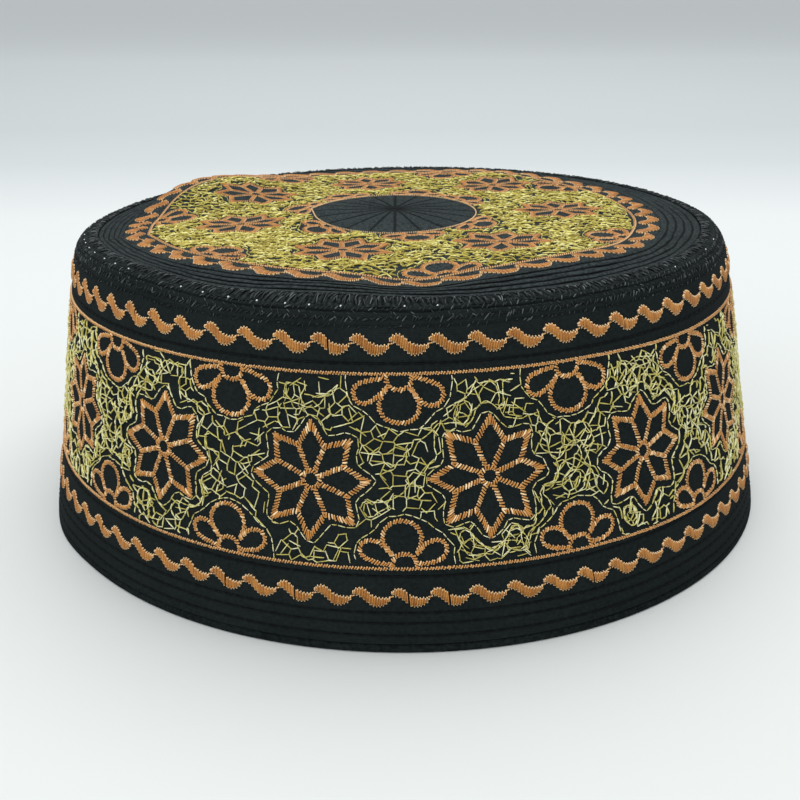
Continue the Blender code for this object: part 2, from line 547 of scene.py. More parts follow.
@dataclass
class Stitches:
    """A batch of straight stitches, as chart points of their two ends with a size for each.

    Lift is how far a stitch's underside floats over the cloth, and rise is its own thickness.
    """

    start: Array
    end: Array
    width: Array
    rise: Array
    lift: Array

    @classmethod
    def of(cls, start: Array, end: Array, width: float, rise: float, lift: float = 0.0) -> "Stitches":
        """A batch whose sizes are all the same."""
        ones = np.ones(len(start))
        return cls(start, end, width * ones, rise * ones, lift * ones)

    @classmethod
    def joined(cls, batches: list["Stitches"]) -> "Stitches":
        """Several batches as one."""
        return cls(*map(np.concatenate, zip(*(vars(batch).values() for batch in batches))))

    def kept(self, choice: Array) -> "Stitches":
        """The stitches that a mask chooses."""
        return Stitches(*(values[choice] for values in vars(self).values()))

    def moved(self, place) -> "Stitches":
        """The batch with both ends carried through a function of chart points."""
        return replace(self, start=place(self.start), end=place(self.end))

    def loosened(self, rng: Rng, spread: float) -> "Stitches":
        """The batch with every end moved by a small random step."""
        return self.moved(lambda ends: ends + rng.normal(0.0, spread, ends.shape))


@dataclass(frozen=True)
class ThreadCut:
    """How a stitch is cut into faces: its cross-section, and its rings along the way.

    Section points are (across, up) in half widths and heights. Rings are (share of the way,
    share of the width, share of the height), and each end closes on a point of its own.
    """

    section: tuple[Pair, ...]
    rings: tuple[Triple, ...]
    sink: float = 0.00004


THIN_CUT = ThreadCut(
    section=((-1.0, 0.0), (0.0, 1.0), (1.0, 0.0)),
    rings=((0.07, 0.75, 0.6), (0.5, 1.0, 1.0), (0.93, 0.75, 0.6)),
)
SATIN_CUT = ThreadCut(
    section=((-1.0, 0.0), (-0.5, 0.95), (0.5, 0.95), (1.0, 0.0)),
    rings=((0.06, 0.8, 0.55), (0.5, 1.0, 1.0), (0.94, 0.8, 0.55)),
)
PARTS = (
    ("contours", THIN_CUT),
    ("network", THIN_CUT),
    ("stars", SATIN_CUT),
    ("half_flowers", SATIN_CUT),
    ("lines", SATIN_CUT),
    ("borders", SATIN_CUT),
)


def sew(
    name: str,
    cloth: Cloth,
    stitches: Stitches,
    cut: ThreadCut,
    seed: int,
    shades: Pair = (0.0, 1.0),
) -> Piece:
    """Lay a batch of stitches on its cloth as one piece of closed, arched threads.

    A vertex is the cloth's point under the thread, plus across times half the width along the
    cloth, plus up times the height along the cloth's normal.

    Args:
        name: The piece's name.
        cloth: The cloth that the stitches lie on.
        stitches: The batch.
        cut: How each stitch is cut into faces.
        seed: The seed of each stitch's own shade.
        shades: The darkest and the lightest shade to draw from.

    Returns:
        The new object, with the values shade (one number a stitch), tail (metres to its nearest
        end), along (metres from its start) and side (0 on its back, 1 at its foot on the cloth).
    """
    count = len(stitches.start)
    rings, section = np.array(cut.rings), np.array(cut.section)
    share = np.concatenate([[0.0], rings[:, 0], [1.0]])
    chart = stitches.start[:, None] + (stitches.end - stitches.start)[:, None] * share[None, :, None]
    centre, normal = cloth.place(chart), cloth.normals(chart)
    reach = centre[:, -1] - centre[:, 0]
    across = unit(np.cross(np.broadcast_to(unit(reach)[:, None], normal.shape), normal))
    base = centre + normal * (stitches.lift[:, None, None] - cut.sink)
    wide = 0.5 * stitches.width[:, None, None, None] * rings[None, :, 1, None, None]
    high = (stitches.rise[:, None, None, None] + cut.sink) * rings[None, :, 2, None, None]
    body = base[:, 1:-1, None] + across[:, 1:-1, None] * section[None, None, :, :1] * wide
    body = body + normal[:, 1:-1, None] * section[None, None, :, 1:] * high
    points = np.concatenate([body.reshape(count, -1, 3), base[:, :1], base[:, -1:]], axis=1)
    corners, levels = len(section), len(rings)
    each = corners * levels + 2
    shift = (np.arange(count) * each)[:, None, None]
    faces = (grid_faces(levels, corners, False), fans(corners, (levels - 1) * corners, each - 2))
    faces = [(part[None] + shift).reshape(-1, part.shape[1]) for part in faces]
    piece = add_mesh(name, points.reshape(-1, 3), faces)
    shade = np.random.default_rng(seed).uniform(*shades, count)
    way = np.concatenate([np.repeat(rings[:, 0], corners), [0.0, 1.0]])
    length = np.linalg.norm(reach, axis=1)[:, None]
    low = np.append(np.tile(1 - np.clip(section[:, 1], 0.0, 1.0), levels), [1.0, 1.0])
    add_values(piece, "shade", np.repeat(shade, each))
    add_values(piece, "tail", length * np.minimum(way, 1 - way))
    add_values(piece, "along", length * way)
    add_values(piece, "side", np.tile(low, count))
    return piece


def satin(
    path: Array,
    width: float,
    pitch: float,
    slant: float,
    closed: bool = False,
    tooth: float = 0.14,
    thread: float = 0.00050,
    rise: float = 0.00040,
) -> Stitches:
    """A raised outline of short stitches side by side across a path.

    Each stitch runs from the path's right to its left, leaning forward by the slant. Every other
    one reaches further to its left and the rest further to their right, by a share of the width,
    which gives the outline its teeth.
    """
    points, ahead = resampled(path, pitch, closed)
    lean = math.radians(slant)
    across = left_of(ahead) * math.cos(lean) + ahead * math.sin(lean)
    tips = np.where(np.arange(len(points)) % 2 == 0, tooth, -tooth)[:, None]
    half = 0.5 * width / math.cos(lean)
    start = points - across * half * (1 - tips)
    end = points + across * half * (1 + tips)
    return Stitches.of(start, end, thread, rise)


# Motifs of the embroidery, each drawn round its own origin


@dataclass(frozen=True)
class StarMotif:
    """An eight-pointed star of kite-shaped petals round a small eyelet, one point up.

    Tip_turn and longest_half are (at a petal's foot, how much more at its tip). In_and_out is how
    far a stitch reaches to each side of its petal's edge, in half widths. Spoke slants take turns.
    """

    points: int = 8
    tip: float = 0.0110
    valley: float = 0.0072
    eyelet: float = 0.00125
    hub: float = 0.0022
    outline: float = 0.00106
    pitch: float = 0.00060
    thread: float = 0.00046
    rise: float = 0.00042
    spike: float = 0.0015
    halo_mean: float = 0.0112
    halo_wave: float = 0.0016
    uneven_turn: float = 0.02
    uneven_tip: float = 0.025
    uneven_valley: float = 0.03
    hub_stitches: int = 18
    hub_turn: float = 0.3
    tip_turn: Pair = (0.40, 0.50)
    longest_half: Pair = (0.0010, 0.0002)
    in_and_out: Pair = (0.9, 1.2)
    spike_out: float = 0.0004
    spike_lift: float = 0.0001
    spoke_foot: float = 0.85
    spoke_share: float = 0.95
    spoke_slants: Pair = (22.0, 32.0)
    spoke_tooth: float = 0.06
    halo_stray: float = 0.00018

    def petal_side(self, tip: Array, valley: Array) -> Stitches:
        """Stitches up one side of a petal.

        They cross the side near its foot and turn to run along the petal's axis at its tip.
        """
        points, ahead = resampled(np.stack([valley, tip]), self.pitch)
        axis = unit(tip)
        out = left_of(ahead)
        out = out * np.sign(np.sum(out * (valley + tip), axis=1, keepdims=True))
        share = np.linspace(0.0, 1.0, len(points))[:, None]
        turn = self.tip_turn[0] + self.tip_turn[1] * share
        across = unit(out * (1 - turn) + axis * turn)
        lean = np.sum(across * out, axis=1, keepdims=True)
        longest = self.longest_half[0] + self.longest_half[1] * share
        half = np.minimum(0.5 * self.outline / lean, longest)
        start = points - across * half * self.in_and_out[0]
        end = points + across * half * self.in_and_out[1]
        return Stitches.of(start, end, self.thread, self.rise)

    def draw(self, rng: Rng) -> Stitches:
        """One star, its points uneven by a few parts in a hundred."""
        count = self.points
        points = []
        rings = ((self.tip, self.uneven_tip, 0.0), (self.valley, self.uneven_valley, 0.5))
        for radius, uneven, shift in rings:
            turn = (np.arange(count) + shift) * (TURN / count) + rng.normal(0.0, self.uneven_turn, count)
            points.append((radius * (1 + rng.normal(0.0, uneven, count)))[:, None] * ray(turn))
        tips, valleys = points
        batches = []
        for number, (tip, valley) in enumerate(zip(tips, valleys)):
            batches += [self.petal_side(tip, foot) for foot in (valleys[number - 1], valley)]
            sharp = np.stack([tip - unit(tip) * self.spike, tip + unit(tip) * self.spike_out])
            batches.append(Stitches.of(sharp[:1], sharp[1:], self.thread, self.rise, self.spike_lift))
            spoke = np.stack([unit(valley) * self.hub * self.spoke_foot, valley])
            width, slant = self.outline * self.spoke_share, self.spoke_slants[number % 2]
            batches.append(satin(spoke, width, self.pitch, slant, tooth=self.spoke_tooth))
        around = even_turns(self.hub_stitches)
        inner, outer = ray(around) * self.eyelet, ray(around + self.hub_turn) * self.hub
        batches.append(Stitches.of(inner, outer, self.thread, self.rise))
        return Stitches.joined(batches)

    def halo(self, rng: Rng) -> "Halo":
        """The loop of running stitches round a star, in and out with its points."""
        angle = np.linspace(0.0, TURN, 65)[:-1]
        wave = self.halo_wave * np.cos(self.points * angle)
        radius = self.halo_mean + wave + rng.normal(0.0, self.halo_stray, len(angle))
        return Halo(angle, radius, np.zeros(2))


@dataclass(frozen=True)
class HalfFlowerMotif:
    """Three looped petals round a small arch, growing up from a line at y = 0.

    All paths are in millimetres and run clockwise, so that their left is outside.
    """

    petal: tuple[Pair, ...]
    left: tuple[Pair, ...]
    right: tuple[Pair, ...]
    outline: float = 0.00090
    pitch: float = 0.00058
    arch: tuple[Pair, ...] = ((-2.4, 0.1), (-2.5, 1.3), (-1.6, 2.75), (0.0, 3.0))
    halo_points: tuple[Pair, ...] = (
        (10.0, -0.6), (10.1, 2.2), (9.8, 4.6), (8.7, 6.4), (6.4, 7.2), (5.4, 8.6), (3.6, 10.2),
        (1.2, 10.8), (0.0, 10.8),
    )
    halo_foot: float = 0.003
    halo_stray: float = 0.0002
    uneven: float = 0.015
    slant: float = 34.0

    def draw(self, rng: Rng) -> Stitches:
        """One half-flower, a little uneven."""
        foot = np.array(self.arch)
        arch = np.vstack([foot, mirrored(foot)[1:]])
        batches = []
        for points in (self.left, self.petal, self.right, arch):
            path = rounded(np.array(points) * MM * (1 + rng.normal(0.0, self.uneven)))
            batches.append(satin(path, self.outline, self.pitch, self.slant))
        return Stitches.joined(batches)

    def halo(self, rng: Rng) -> "Halo":
        """The loop of running stitches round a half-flower."""
        half = np.array(self.halo_points) * MM
        loop = np.vstack([half, mirrored(half)[1:]])
        halo = Halo.through(loop, np.array([0.0, self.halo_foot]))
        every = np.linspace(-math.pi, math.pi, 49)[:-1]
        radius = halo.reach(every) + rng.normal(0.0, self.halo_stray, len(every))
        return Halo(every, radius, halo.middle)


HANGING_FLOWER = HalfFlowerMotif(
    petal=(
        (-2.1, 2.6), (-3.6, 4.6), (-4.1, 6.6), (-3.4, 8.4), (-1.7, 9.6),
        (0.7, 9.7), (2.9, 8.9), (4.1, 7.0), (3.9, 4.8), (2.3, 2.6),
    ),
    right=(
        (2.4, 2.6), (3.6, 3.9), (5.3, 5.2), (7.1, 5.8), (8.6, 4.9),
        (8.8, 3.0), (7.9, 1.8), (5.6, 1.2), (2.9, 0.8),
    ),
    left=(
        (-2.7, 0.5), (-4.8, 1.1), (-6.9, 1.8), (-8.4, 2.7), (-8.7, 4.2),
        (-8.1, 5.7), (-6.6, 6.3), (-5.0, 5.9), (-3.4, 4.7), (-2.4, 2.8),
    ),
)
STANDING_FLOWER = HalfFlowerMotif(
    petal=(
        (-2.2, 2.5), (-3.8, 4.1), (-4.5, 6.0), (-4.0, 7.9), (-2.4, 9.4),
        (-0.2, 9.7), (2.0, 9.1), (3.4, 7.3), (3.5, 5.2), (2.4, 2.9),
    ),
    right=(
        (2.6, 3.0), (4.1, 5.0), (6.0, 5.8), (7.8, 5.6), (8.7, 4.2),
        (8.3, 2.6), (6.9, 1.5), (4.9, 1.1), (2.8, 0.9),
    ),
    left=(
        (-2.5, 0.8), (-4.6, 1.0), (-6.7, 1.5), (-8.4, 2.4), (-9.0, 3.8),
        (-8.4, 5.2), (-6.7, 5.7), (-5.0, 5.3), (-3.5, 4.2), (-2.4, 2.7),
    ),
)


@dataclass
class Halo:
    """A loop round a motif, as radii over angles from a middle. Angle 0 is up the chart."""

    angle: Array
    radius: Array
    middle: Array

    @classmethod
    def through(cls, loop: Array, middle: Array) -> "Halo":
        """A loop from its points and a middle."""
        away = loop - middle
        angle = np.arctan2(away[:, 0], away[:, 1])
        order = np.argsort(angle)
        return cls(angle[order], np.linalg.norm(away, axis=1)[order], middle)

    def reach(self, angle: Array) -> Array:
        """The loop's radius at angles."""
        return np.interp(angle, self.angle, self.radius, period=TURN)

    def points(self, count: int) -> Array:
        """Evenly turned points of the loop."""
        every = np.linspace(0.0, TURN, count, endpoint=False)
        return self.middle + self.reach(every)[:, None] * ray(every)

    def clearance(self, spot: Array) -> Array:
        """How far outside the loop points are, less than 0 inside it."""
        away = spot - self.middle
        return np.linalg.norm(away, axis=-1) - self.reach(np.arctan2(away[..., 0], away[..., 1]))


@dataclass(frozen=True)
class WaveBorder:
    """A border of comma-shaped satin waves, joined by one thin stitch.

    The outline is rows of (way along, upper edge, lower edge) in millimetres for one wave. Inset,
    slit, teeth and strays are in millimetres too, and so is link: (start of the thin stitch from
    this wave's end, its end from the next wave's start, how far it climbs).
    """

    outline: tuple[Triple, ...] = (
        (0.0, 1.05, 0.75), (0.25, 1.45, 0.45), (0.6, 1.74, 0.22), (1.2, 1.93, 0.0),
        (1.75, 2.02, -0.4), (2.4, 1.75, -0.95), (3.0, 1.30, -1.5), (3.45, 0.75, -1.9),
        (3.9, 0.42, -2.08), (4.5, 0.20, -2.12), (5.1, 0.0, -2.1), (5.7, -0.1, -1.9),
        (6.2, -0.05, -1.6), (6.75, -0.03, -1.2), (7.2, -0.1, -0.6),
    )
    length: float = 7.2
    stitches: int = 23
    thread: float = 0.00036
    rise: float = 0.00048
    slit: float = 3.4
    slit_share: float = 0.25
    tall: float = 1.0
    space: float = 0.00035
    inset: Pair = (0.06, 0.08)
    teeth: Pair = (0.12, -0.14)
    low_rise: float = 0.86
    lean: float = 0.16
    slit_stray: float = 0.15
    edge_stray: float = 0.03
    link: Triple = (-0.2, 0.4, 0.22)
    link_thread: Pair = (0.00040, 0.0003)

    def draw(self, step: float, rng: Rng) -> Stitches:
        """One wave that fills a step along the border, and the thin stitch to the next wave."""
        table = np.array(self.outline)
        ratio = (step - self.space) / (self.length * MM)
        way = np.linspace(self.inset[0], self.length - self.inset[1], self.stitches)
        slit = self.slit + rng.normal(0.0, self.slit_stray)
        if rng.uniform() < self.slit_share:
            way = np.delete(way, np.argmin(np.abs(way - slit)))
        count = len(way)
        upper = np.interp(way, table[:, 0], table[:, 1])
        lower = np.interp(way, table[:, 0], table[:, 2])
        even = np.arange(count) % 2 == 0
        tooth = np.where(even, *self.teeth)
        upper = upper + tooth + rng.normal(0.0, self.edge_stray, count)
        lower = lower - tooth - rng.normal(0.0, self.edge_stray, count)
        lean = self.lean * (upper - lower) / 4
        start = pair(way * ratio + lean, lower * self.tall) * MM
        end = pair(way * ratio - lean, upper * self.tall) * MM
        rise = self.rise * np.where(even, 1.0, self.low_rise)
        body = Stitches(start, end, np.full(count, self.thread * ratio), rise, np.zeros(count))
        back, onward, up = self.link
        first = np.array([[self.length * ratio + back, 0.0]]) * MM
        last = np.array([[step / MM + onward, up]]) * MM
        return Stitches.joined([body, Stitches.of(first, last, *self.link_thread)])


# The loose green-gold network


@dataclass(frozen=True)
class WebLayer:
    """One layer of the network: its cell size, how much of it is kept, and its height."""

    spacing: float
    kept: float
    lift: float
    patchy: float = 0.0
    room: float = -0.0002


# In spacings: a honeycomb's row height, the random part of a site's place, how much of a closed
# area is repeated past its ends, and the longest edge that is kept
SITE_ROW = 0.866
SITE_STRAY = 0.42
SITE_MARGIN = 4
LONGEST_EDGE = 2.5


def cell_edges(low: Array, high: Array, spacing: float, wrap: bool, rng: Rng) -> Array:
    """Edges of the cells round scattered sites.

    The sites are a honeycomb with every site moved at random. They are joined into triangles, and
    each pair of triangles that share a side gives one edge, between the centres of the circles
    through their corners.

    Args:
        low: Lowest corner of the chart area to fill.
        high: Highest corner of it.
        spacing: Distance between neighbouring sites.
        wrap: Whether the area joins itself from right to left.
        rng: Source of the sites' moves.

    Returns:
        An array of edges, each two chart points.
    """
    size = high - low
    columns = max(int(round(size[0] / spacing)), 3)
    rows = int(math.ceil(size[1] / (spacing * SITE_ROW))) + 4
    row, column = np.meshgrid(np.arange(rows) - 2, np.arange(columns), indexing="ij")
    x = (column + 0.5 * (row % 2)) * size[0] / columns
    sites = pair(x, row * spacing * SITE_ROW).reshape(-1, 2)
    sites = sites + rng.uniform(-SITE_STRAY, SITE_STRAY, sites.shape) * spacing
    if wrap:
        sites[:, 0] %= size[0]
        before = sites[sites[:, 0] > size[0] - SITE_MARGIN * spacing] - [size[0], 0.0]
        after = sites[sites[:, 0] < SITE_MARGIN * spacing] + [size[0], 0.0]
        sites = np.vstack([sites, before, after])
    scale = 1.0 / spacing
    found = delaunay_2d_cdt([Vector(site) for site in (sites * scale).tolist()], [], [], 0, 1e-6)
    corners = np.array([tuple(vertex) for vertex in found[0]]) / scale
    triangles = np.array(found[2])
    a, b, c = (corners[triangles[:, number]] for number in range(3))
    ab, ac = b - a, c - a
    twice = 2 * (ab[:, 0] * ac[:, 1] - ab[:, 1] * ac[:, 0])
    twice = np.where(np.abs(twice) < 1e-14, 1e-14, twice)
    square_b, square_c = np.sum(ab**2, axis=1), np.sum(ac**2, axis=1)
    x = (ac[:, 1] * square_b - ab[:, 1] * square_c) / twice
    y = (ab[:, 0] * square_c - ac[:, 0] * square_b) / twice
    centres = a + pair(x, y)
    sides = np.concatenate([triangles[:, side] for side in ([0, 1], [1, 2], [2, 0])])
    sides = np.sort(sides, axis=1)
    owner = np.tile(np.arange(len(triangles)), 3)
    order = np.lexsort((sides[:, 1], sides[:, 0]))
    sides, owner = sides[order], owner[order]
    same = np.all(sides[1:] == sides[:-1], axis=1)
    edges = np.stack([centres[owner[:-1][same]], centres[owner[1:][same]]], axis=1)
    middle = edges.mean(axis=1)
    inside = (middle[:, 0] >= 0) & (middle[:, 0] < size[0])
    inside &= (middle[:, 1] >= 0) & (middle[:, 1] < size[1])
    length = np.linalg.norm(edges[:, 1] - edges[:, 0], axis=1)
    return edges[inside & (length < LONGEST_EDGE * spacing)] + low


def patches(chart: Array, size: float) -> Array:
    """A slow, uneven field from -1 to 1, as the sum of a few crossed waves."""
    x, y = chart[..., 0] / size, chart[..., 1] / size
    field_sum = np.sin(1.9 * x + 1.3 * np.sin(1.1 * y)) + np.sin(2.3 * y + 1.7 * np.sin(0.8 * x + 0.4))
    field_sum = field_sum + np.sin(1.4 * x + 2.2 * y + 0.7)
    return field_sum / 3


@dataclass(frozen=True)
class Wander:
    """How the wandering threads go: how many start, their steps and turns, and their room."""

    count: int
    steps: int = 24
    step: Pair = (0.0010, 0.0017)
    bend: Pair = (0.25, 0.75)
    flip: float = 0.24
    noise: float = 0.26
    room: float = 0.0004
    wide: float = 0.0016
    shy: float = 0.00028
    lift: float = 0.0002
    swerves: tuple[float, ...] = (0.0, 0.4, -0.4, 0.8, -0.8, 1.2, -1.2, 1.8, -1.8, 2.5, -2.5)


@dataclass(frozen=True)
class Network:
    """The wandering threads that fill the ground between the motifs.

    Overlap is (growth, length added) of a cell edge that becomes a stitch. Widths are shares of
    the thread's own.
    """

    thread: float = 0.00028
    rise: float = 0.00032
    longest: float = 0.0030
    shortest: float = 0.0005
    dash: float = 0.0017
    dash_gap: float = 0.00007
    crossing_halves: Pair = (0.0013, 0.0021)
    crossing_lift: float = 0.0004
    stray: float = 0.00006
    turn: float = 0.07
    overlap: Pair = (1.1, 0.0002)
    patch_size: float = 0.006
    web_lift: float = 0.00016
    web_widths: Pair = (0.9, 1.1)
    wander_lift: float = 0.0002
    wander_widths: Pair = (0.92, 1.08)
    dash_uneven: float = 0.2
    dash_stray: float = 0.00008

    def web(self, edges: Array, layer: WebLayer, free, rng: Rng) -> Stitches:
        """Stitches along the cell edges that lie in free cloth.

        Each edge is turned a little and made longer by a tenth, and those near the layer's thin
        places are left out.
        """
        span = edges[:, 1] - edges[:, 0]
        length = np.linalg.norm(span, axis=1)
        middle = edges.mean(axis=1) + rng.normal(0.0, self.stray, (len(edges), 2))
        turn = rng.normal(0.0, self.turn, len(edges))
        cos, sin = np.cos(turn), np.sin(turn)
        along = pair(span[:, 0] * cos - span[:, 1] * sin, span[:, 0] * sin + span[:, 1] * cos)
        grown = length * self.overlap[0] + self.overlap[1]
        grown = np.minimum(grown, self.longest) / np.maximum(length, 1e-9)
        half = 0.5 * along * grown[:, None]
        batch = Stitches.of(middle - half, middle + half, self.thread, self.rise)
        chance = layer.kept + layer.patchy * patches(middle, self.patch_size)
        keep = (length > self.shortest) & (self.clear(batch, free) > layer.room)
        batch = batch.kept(keep & (rng.uniform(size=len(edges)) < chance))
        count = len(batch.start)
        lift = layer.lift + rng.uniform(0.0, self.web_lift, count)
        return replace(batch, width=self.thread * rng.uniform(*self.web_widths, count), lift=lift)

    def clear(self, batch: Stitches, free) -> Array:
        """The least room at the ends and the middle of each stitch."""
        middle = (batch.start + batch.end) / 2
        return np.minimum(free(batch.start), np.minimum(free(batch.end), free(middle)))

    def wander(self, low: Array, high: Array, walk: Wander, free, rng: Rng) -> Stitches:
        """Long threads that wander in small loops where the cloth is open.

        Each step turns by the thread's own bend and a random part, and swerves by the angle with
        the best score: the room ahead, up to a width, less the angle times how shy the thread is of
        turning. A thread that finds no open cloth ends there.
        """
        spot = rng.uniform(low, high, (walk.count, 2))
        spot = spot[free(spot) > walk.room]
        count = len(spot)
        heading = rng.uniform(0.0, TURN, count)
        bend = rng.choice([-1.0, 1.0], count) * rng.uniform(*walk.bend, count)
        swerves = np.array(walk.swerves)
        batches = []
        for _ in range(walk.steps):
            tries = heading[:, None] + swerves
            step = rng.uniform(*walk.step, count)[:, None, None]
            ahead = spot[:, None] + pair(np.cos(tries), np.sin(tries)) * step
            clear = free(ahead)
            score = np.minimum(clear, walk.wide) - walk.shy * np.abs(swerves)
            choice = np.argmax(score, axis=1)
            here = np.arange(count)
            alive = clear[here, choice] > walk.room
            onward, faced = ahead[here, choice][alive], tries[here, choice][alive]
            count = int(alive.sum())
            lift = walk.lift + rng.uniform(0.0, self.wander_lift, count)
            width = self.thread * rng.uniform(*self.wander_widths, count)
            batches.append(Stitches(spot[alive], onward, width, np.full(count, self.rise), lift))
            spot, bend = onward, bend[alive]
            bend = np.where(rng.uniform(size=count) < walk.flip, -bend, bend)
            heading = faced + bend + rng.normal(0.0, walk.noise, count)
        return Stitches.joined(batches)

    def contour(self, loop: Array, rng: Rng) -> Stitches:
        """Running stitches of uneven length along a closed loop."""
        closed = np.vstack([loop, loop[:1]])
        ends = lengths_to(closed)
        count = int(ends[-1] / self.dash)
        uneven = rng.uniform(-self.dash_uneven, self.dash_uneven, count)
        way = (np.arange(count + 1) + np.append(uneven, 0.0)) / count
        way[-1] = way[0] + 1.0
        points = points_along(closed, ends, way * ends[-1] % ends[-1])
        points = points + rng.normal(0.0, self.dash_stray, points.shape)
        gap = unit(points[1:] - points[:-1]) * self.dash_gap
        return Stitches.of(points[:-1] + gap, points[1:] - gap, self.thread, self.rise)

    def crossing(self, low: Array, high: Array, count: int, free, rng: Rng) -> Stitches:
        """A few long straight stitches that cross the cells."""
        middle = rng.uniform(low, high, (count, 2))
        turn = rng.uniform(0.0, math.pi, count)
        half = pair(np.cos(turn), np.sin(turn)) * rng.uniform(*self.crossing_halves, count)[:, None]
        batch = Stitches.of(middle - half, middle + half, self.thread, self.rise, self.crossing_lift)
        return batch.kept(self.clear(batch, free) > 0.0)


# Shader nodes


def operator(operation: str, swapped: bool = False):
    """An operator of Socket: a Math node on it and another value, or with the two swapped."""

    def method(self: "Socket", other) -> "Socket":
        """The outcome of the two values."""
        return self.join(operation, *((other, self) if swapped else (self, other)))

    return method


class Socket:
    """One output of a node tree that can be used in Python sums."""

    def __init__(self, tree: bpy.types.NodeTree, out: bpy.types.NodeSocket) -> None:
        """Wrap an output of a tree."""
        self.tree = tree
        self.out = out

    def join(self, operation: str, first, second=None, clamp: bool = False) -> "Socket":
        """A Math node on one or two values."""
        node = self.tree.nodes.new("ShaderNodeMath")
        node.operation = operation
        node.use_clamp = clamp
        for place, value in zip(node.inputs, (first, second)):
            if isinstance(value, Socket):
                self.tree.links.new(value.out, place)
            elif value is not None:
                place.default_value = float(value)
        return Socket(self.tree, node.outputs[0])

    __add__ = operator("ADD")
    __radd__ = operator("ADD", swapped=True)
    __sub__ = operator("SUBTRACT")
    __rsub__ = operator("SUBTRACT", swapped=True)
    __mul__ = operator("MULTIPLY")
    __truediv__ = operator("DIVIDE")
    __pow__ = operator("POWER")

    def sin(self) -> "Socket":
        """The sine of this value in radians."""
        return self.join("SINE", self)

    def clamped(self) -> "Socket":
        """This value held between 0 and 1."""
        return self.join("ADD", self, 0.0, clamp=True)


class Finish:
    """A procedural material under construction, with one method for every kind of node."""

    def __init__(self, name: str) -> None:
        """Start a material with an empty Principled shader."""
        self.material = bpy.data.materials.new(name)
        self.material.use_nodes = True
        self.tree = self.material.node_tree
        self.shader = self.tree.nodes["Principled BSDF"]

    def node(self, kind: str, settings: dict | None = None, inputs: dict | None = None, output=0) -> Socket:
        """Add any node.

        Args:
            kind: The node's type.
            settings: Its own settings, set first. Stops gives a ramp's (place, colour) pairs.
            inputs: Values or links of its sockets, by name or number.
            output: The output to hand back, by name or number.

        Returns:
            The wrapped output.
        """
        made = self.tree.nodes.new(kind)
        for key, value in (settings or {}).items():
            if key == "stops":
                for number, (place, colour) in enumerate(value):
                    stops = made.color_ramp.elements
                    stop = stops[number] if number < 2 else stops.new(place)
                    stop.position = place
                    stop.color = (*colour, 1.0)
            else:
                setattr(made, key, value)
        for key, value in (inputs or {}).items():
            if isinstance(value, Socket):
                self.tree.links.new(value.out, made.inputs[key])
            else:
                made.inputs[key].default_value = value
        return Socket(self.tree, made.outputs[output])

    def value(self, name: str) -> Socket:
        """A number that the mesh holds for each vertex."""
        return self.node("ShaderNodeAttribute", {"attribute_name": name}, output="Fac")

    def spot(self) -> Socket:
        """The place on the object, in metres."""
        return self.node("ShaderNodeTexCoord", output="Object")

    def axis(self, vector: Socket, number: int) -> Socket:
        """One coordinate of a vector."""
        return self.node("ShaderNodeSeparateXYZ", None, {0: vector}, number)

    def noise(self, vector: Socket, scale: float, detail: float = 2.0) -> Socket:
        """Smooth random values from 0 to 1."""
        inputs = {"Vector": vector, "Scale": scale, "Detail": detail}
        return self.node("ShaderNodeTexNoise", None, inputs, "Fac")

    def blend(self, share, first, second) -> Socket:
        """A colour between two colours."""
        full = [(*colour, 1.0) if isinstance(colour, tuple) else colour for colour in (first, second)]
        inputs = {0: share, 6: full[0], 7: full[1]}
        return self.node("ShaderNodeMix", {"data_type": "RGBA"}, inputs, 2)

    def bump(self, height: Socket, distance: float, strength: float) -> Socket:
        """A normal that follows a height."""
        inputs = {"Height": height, "Distance": distance, "Strength": strength}
        return self.node("ShaderNodeBump", None, inputs, "Normal")

    def feed(self, links: dict, numbers: dict | None = None) -> bpy.types.Material:
        """Link what varies to the shader and set what doesn't, and hand back the material."""
        for name, socket in links.items():
            self.tree.links.new(socket.out, self.shader.inputs[name])
        for name, value in (numbers or {}).items():
            self.shader.inputs[name].default_value = value
        return self.material


@dataclass(frozen=True)
class ThreadFinish:
    """Shiny embroidery thread: one shade a stitch, painted shade at its foot, and painted highlights near
    its ends and on its lightest stitches.
    """

    name: str
    deep: Colour
    full: Colour
    # Painted highlight: the colour of the lightest stitches and of each stitch's ends, where it bends down
    # into the cloth
    light: Colour
    # Painted shade: the colour at a stitch's foot, where it meets the cloth and its neighbours
    foot: Colour
    light_share: float = 0.3
    end: float = 0.0003
    end_share: float = 0.8
    foot_share: float = 0.85
    roughness: float = 0.42
    gloss: float = 0.5
    ply: float = 0.00032
    ply_depth: float = 0.00003
    patch_scale: float = 260.0
    fine_scale: float = 1500.0

    def make(self) -> bpy.types.Material:
        """Build the material. The bump is the thread's twist, slanted stripes along each stitch."""
        finish = Finish(self.name)
        shade, tail = finish.value("shade"), finish.value("tail")
        along, side = finish.value("along"), finish.value("side")
        spot = finish.spot()
        patch = finish.noise(spot, self.patch_scale)
        fine = finish.noise(spot, self.fine_scale)
        tone = (shade * 0.75 + patch * 0.7 + fine * 0.4 - 0.45).clamped()
        colour = finish.blend(tone, self.deep, self.full)
        # Painted highlight on the lightest share of the stitches
        painted_highlight = ((shade - (1.0 - self.light_share)) * (0.8 / self.light_share)).clamped()
        colour = finish.blend(painted_highlight, colour, self.light)
        # Painted shade at the foot of each stitch, on its sides down to the cloth
        colour = finish.blend((side**1.5 * self.foot_share).clamped(), colour, self.foot)
        # Painted highlight near each end of a stitch, where it bends down into the cloth
        end = (1.4 - tail / self.end).clamped() * self.end_share
        colour = finish.blend(end, colour, self.light)
        twist = (along * (TURN / self.ply) + patch * 3.0).sin()
        normal = finish.bump(twist, self.ply_depth, 0.5)
        rough = self.roughness + (patch - 0.5) * 0.2
        links = {"Base Color": colour, "Roughness": rough, "Normal": normal}
        return finish.feed(links, {"Specular IOR Level": self.gloss})


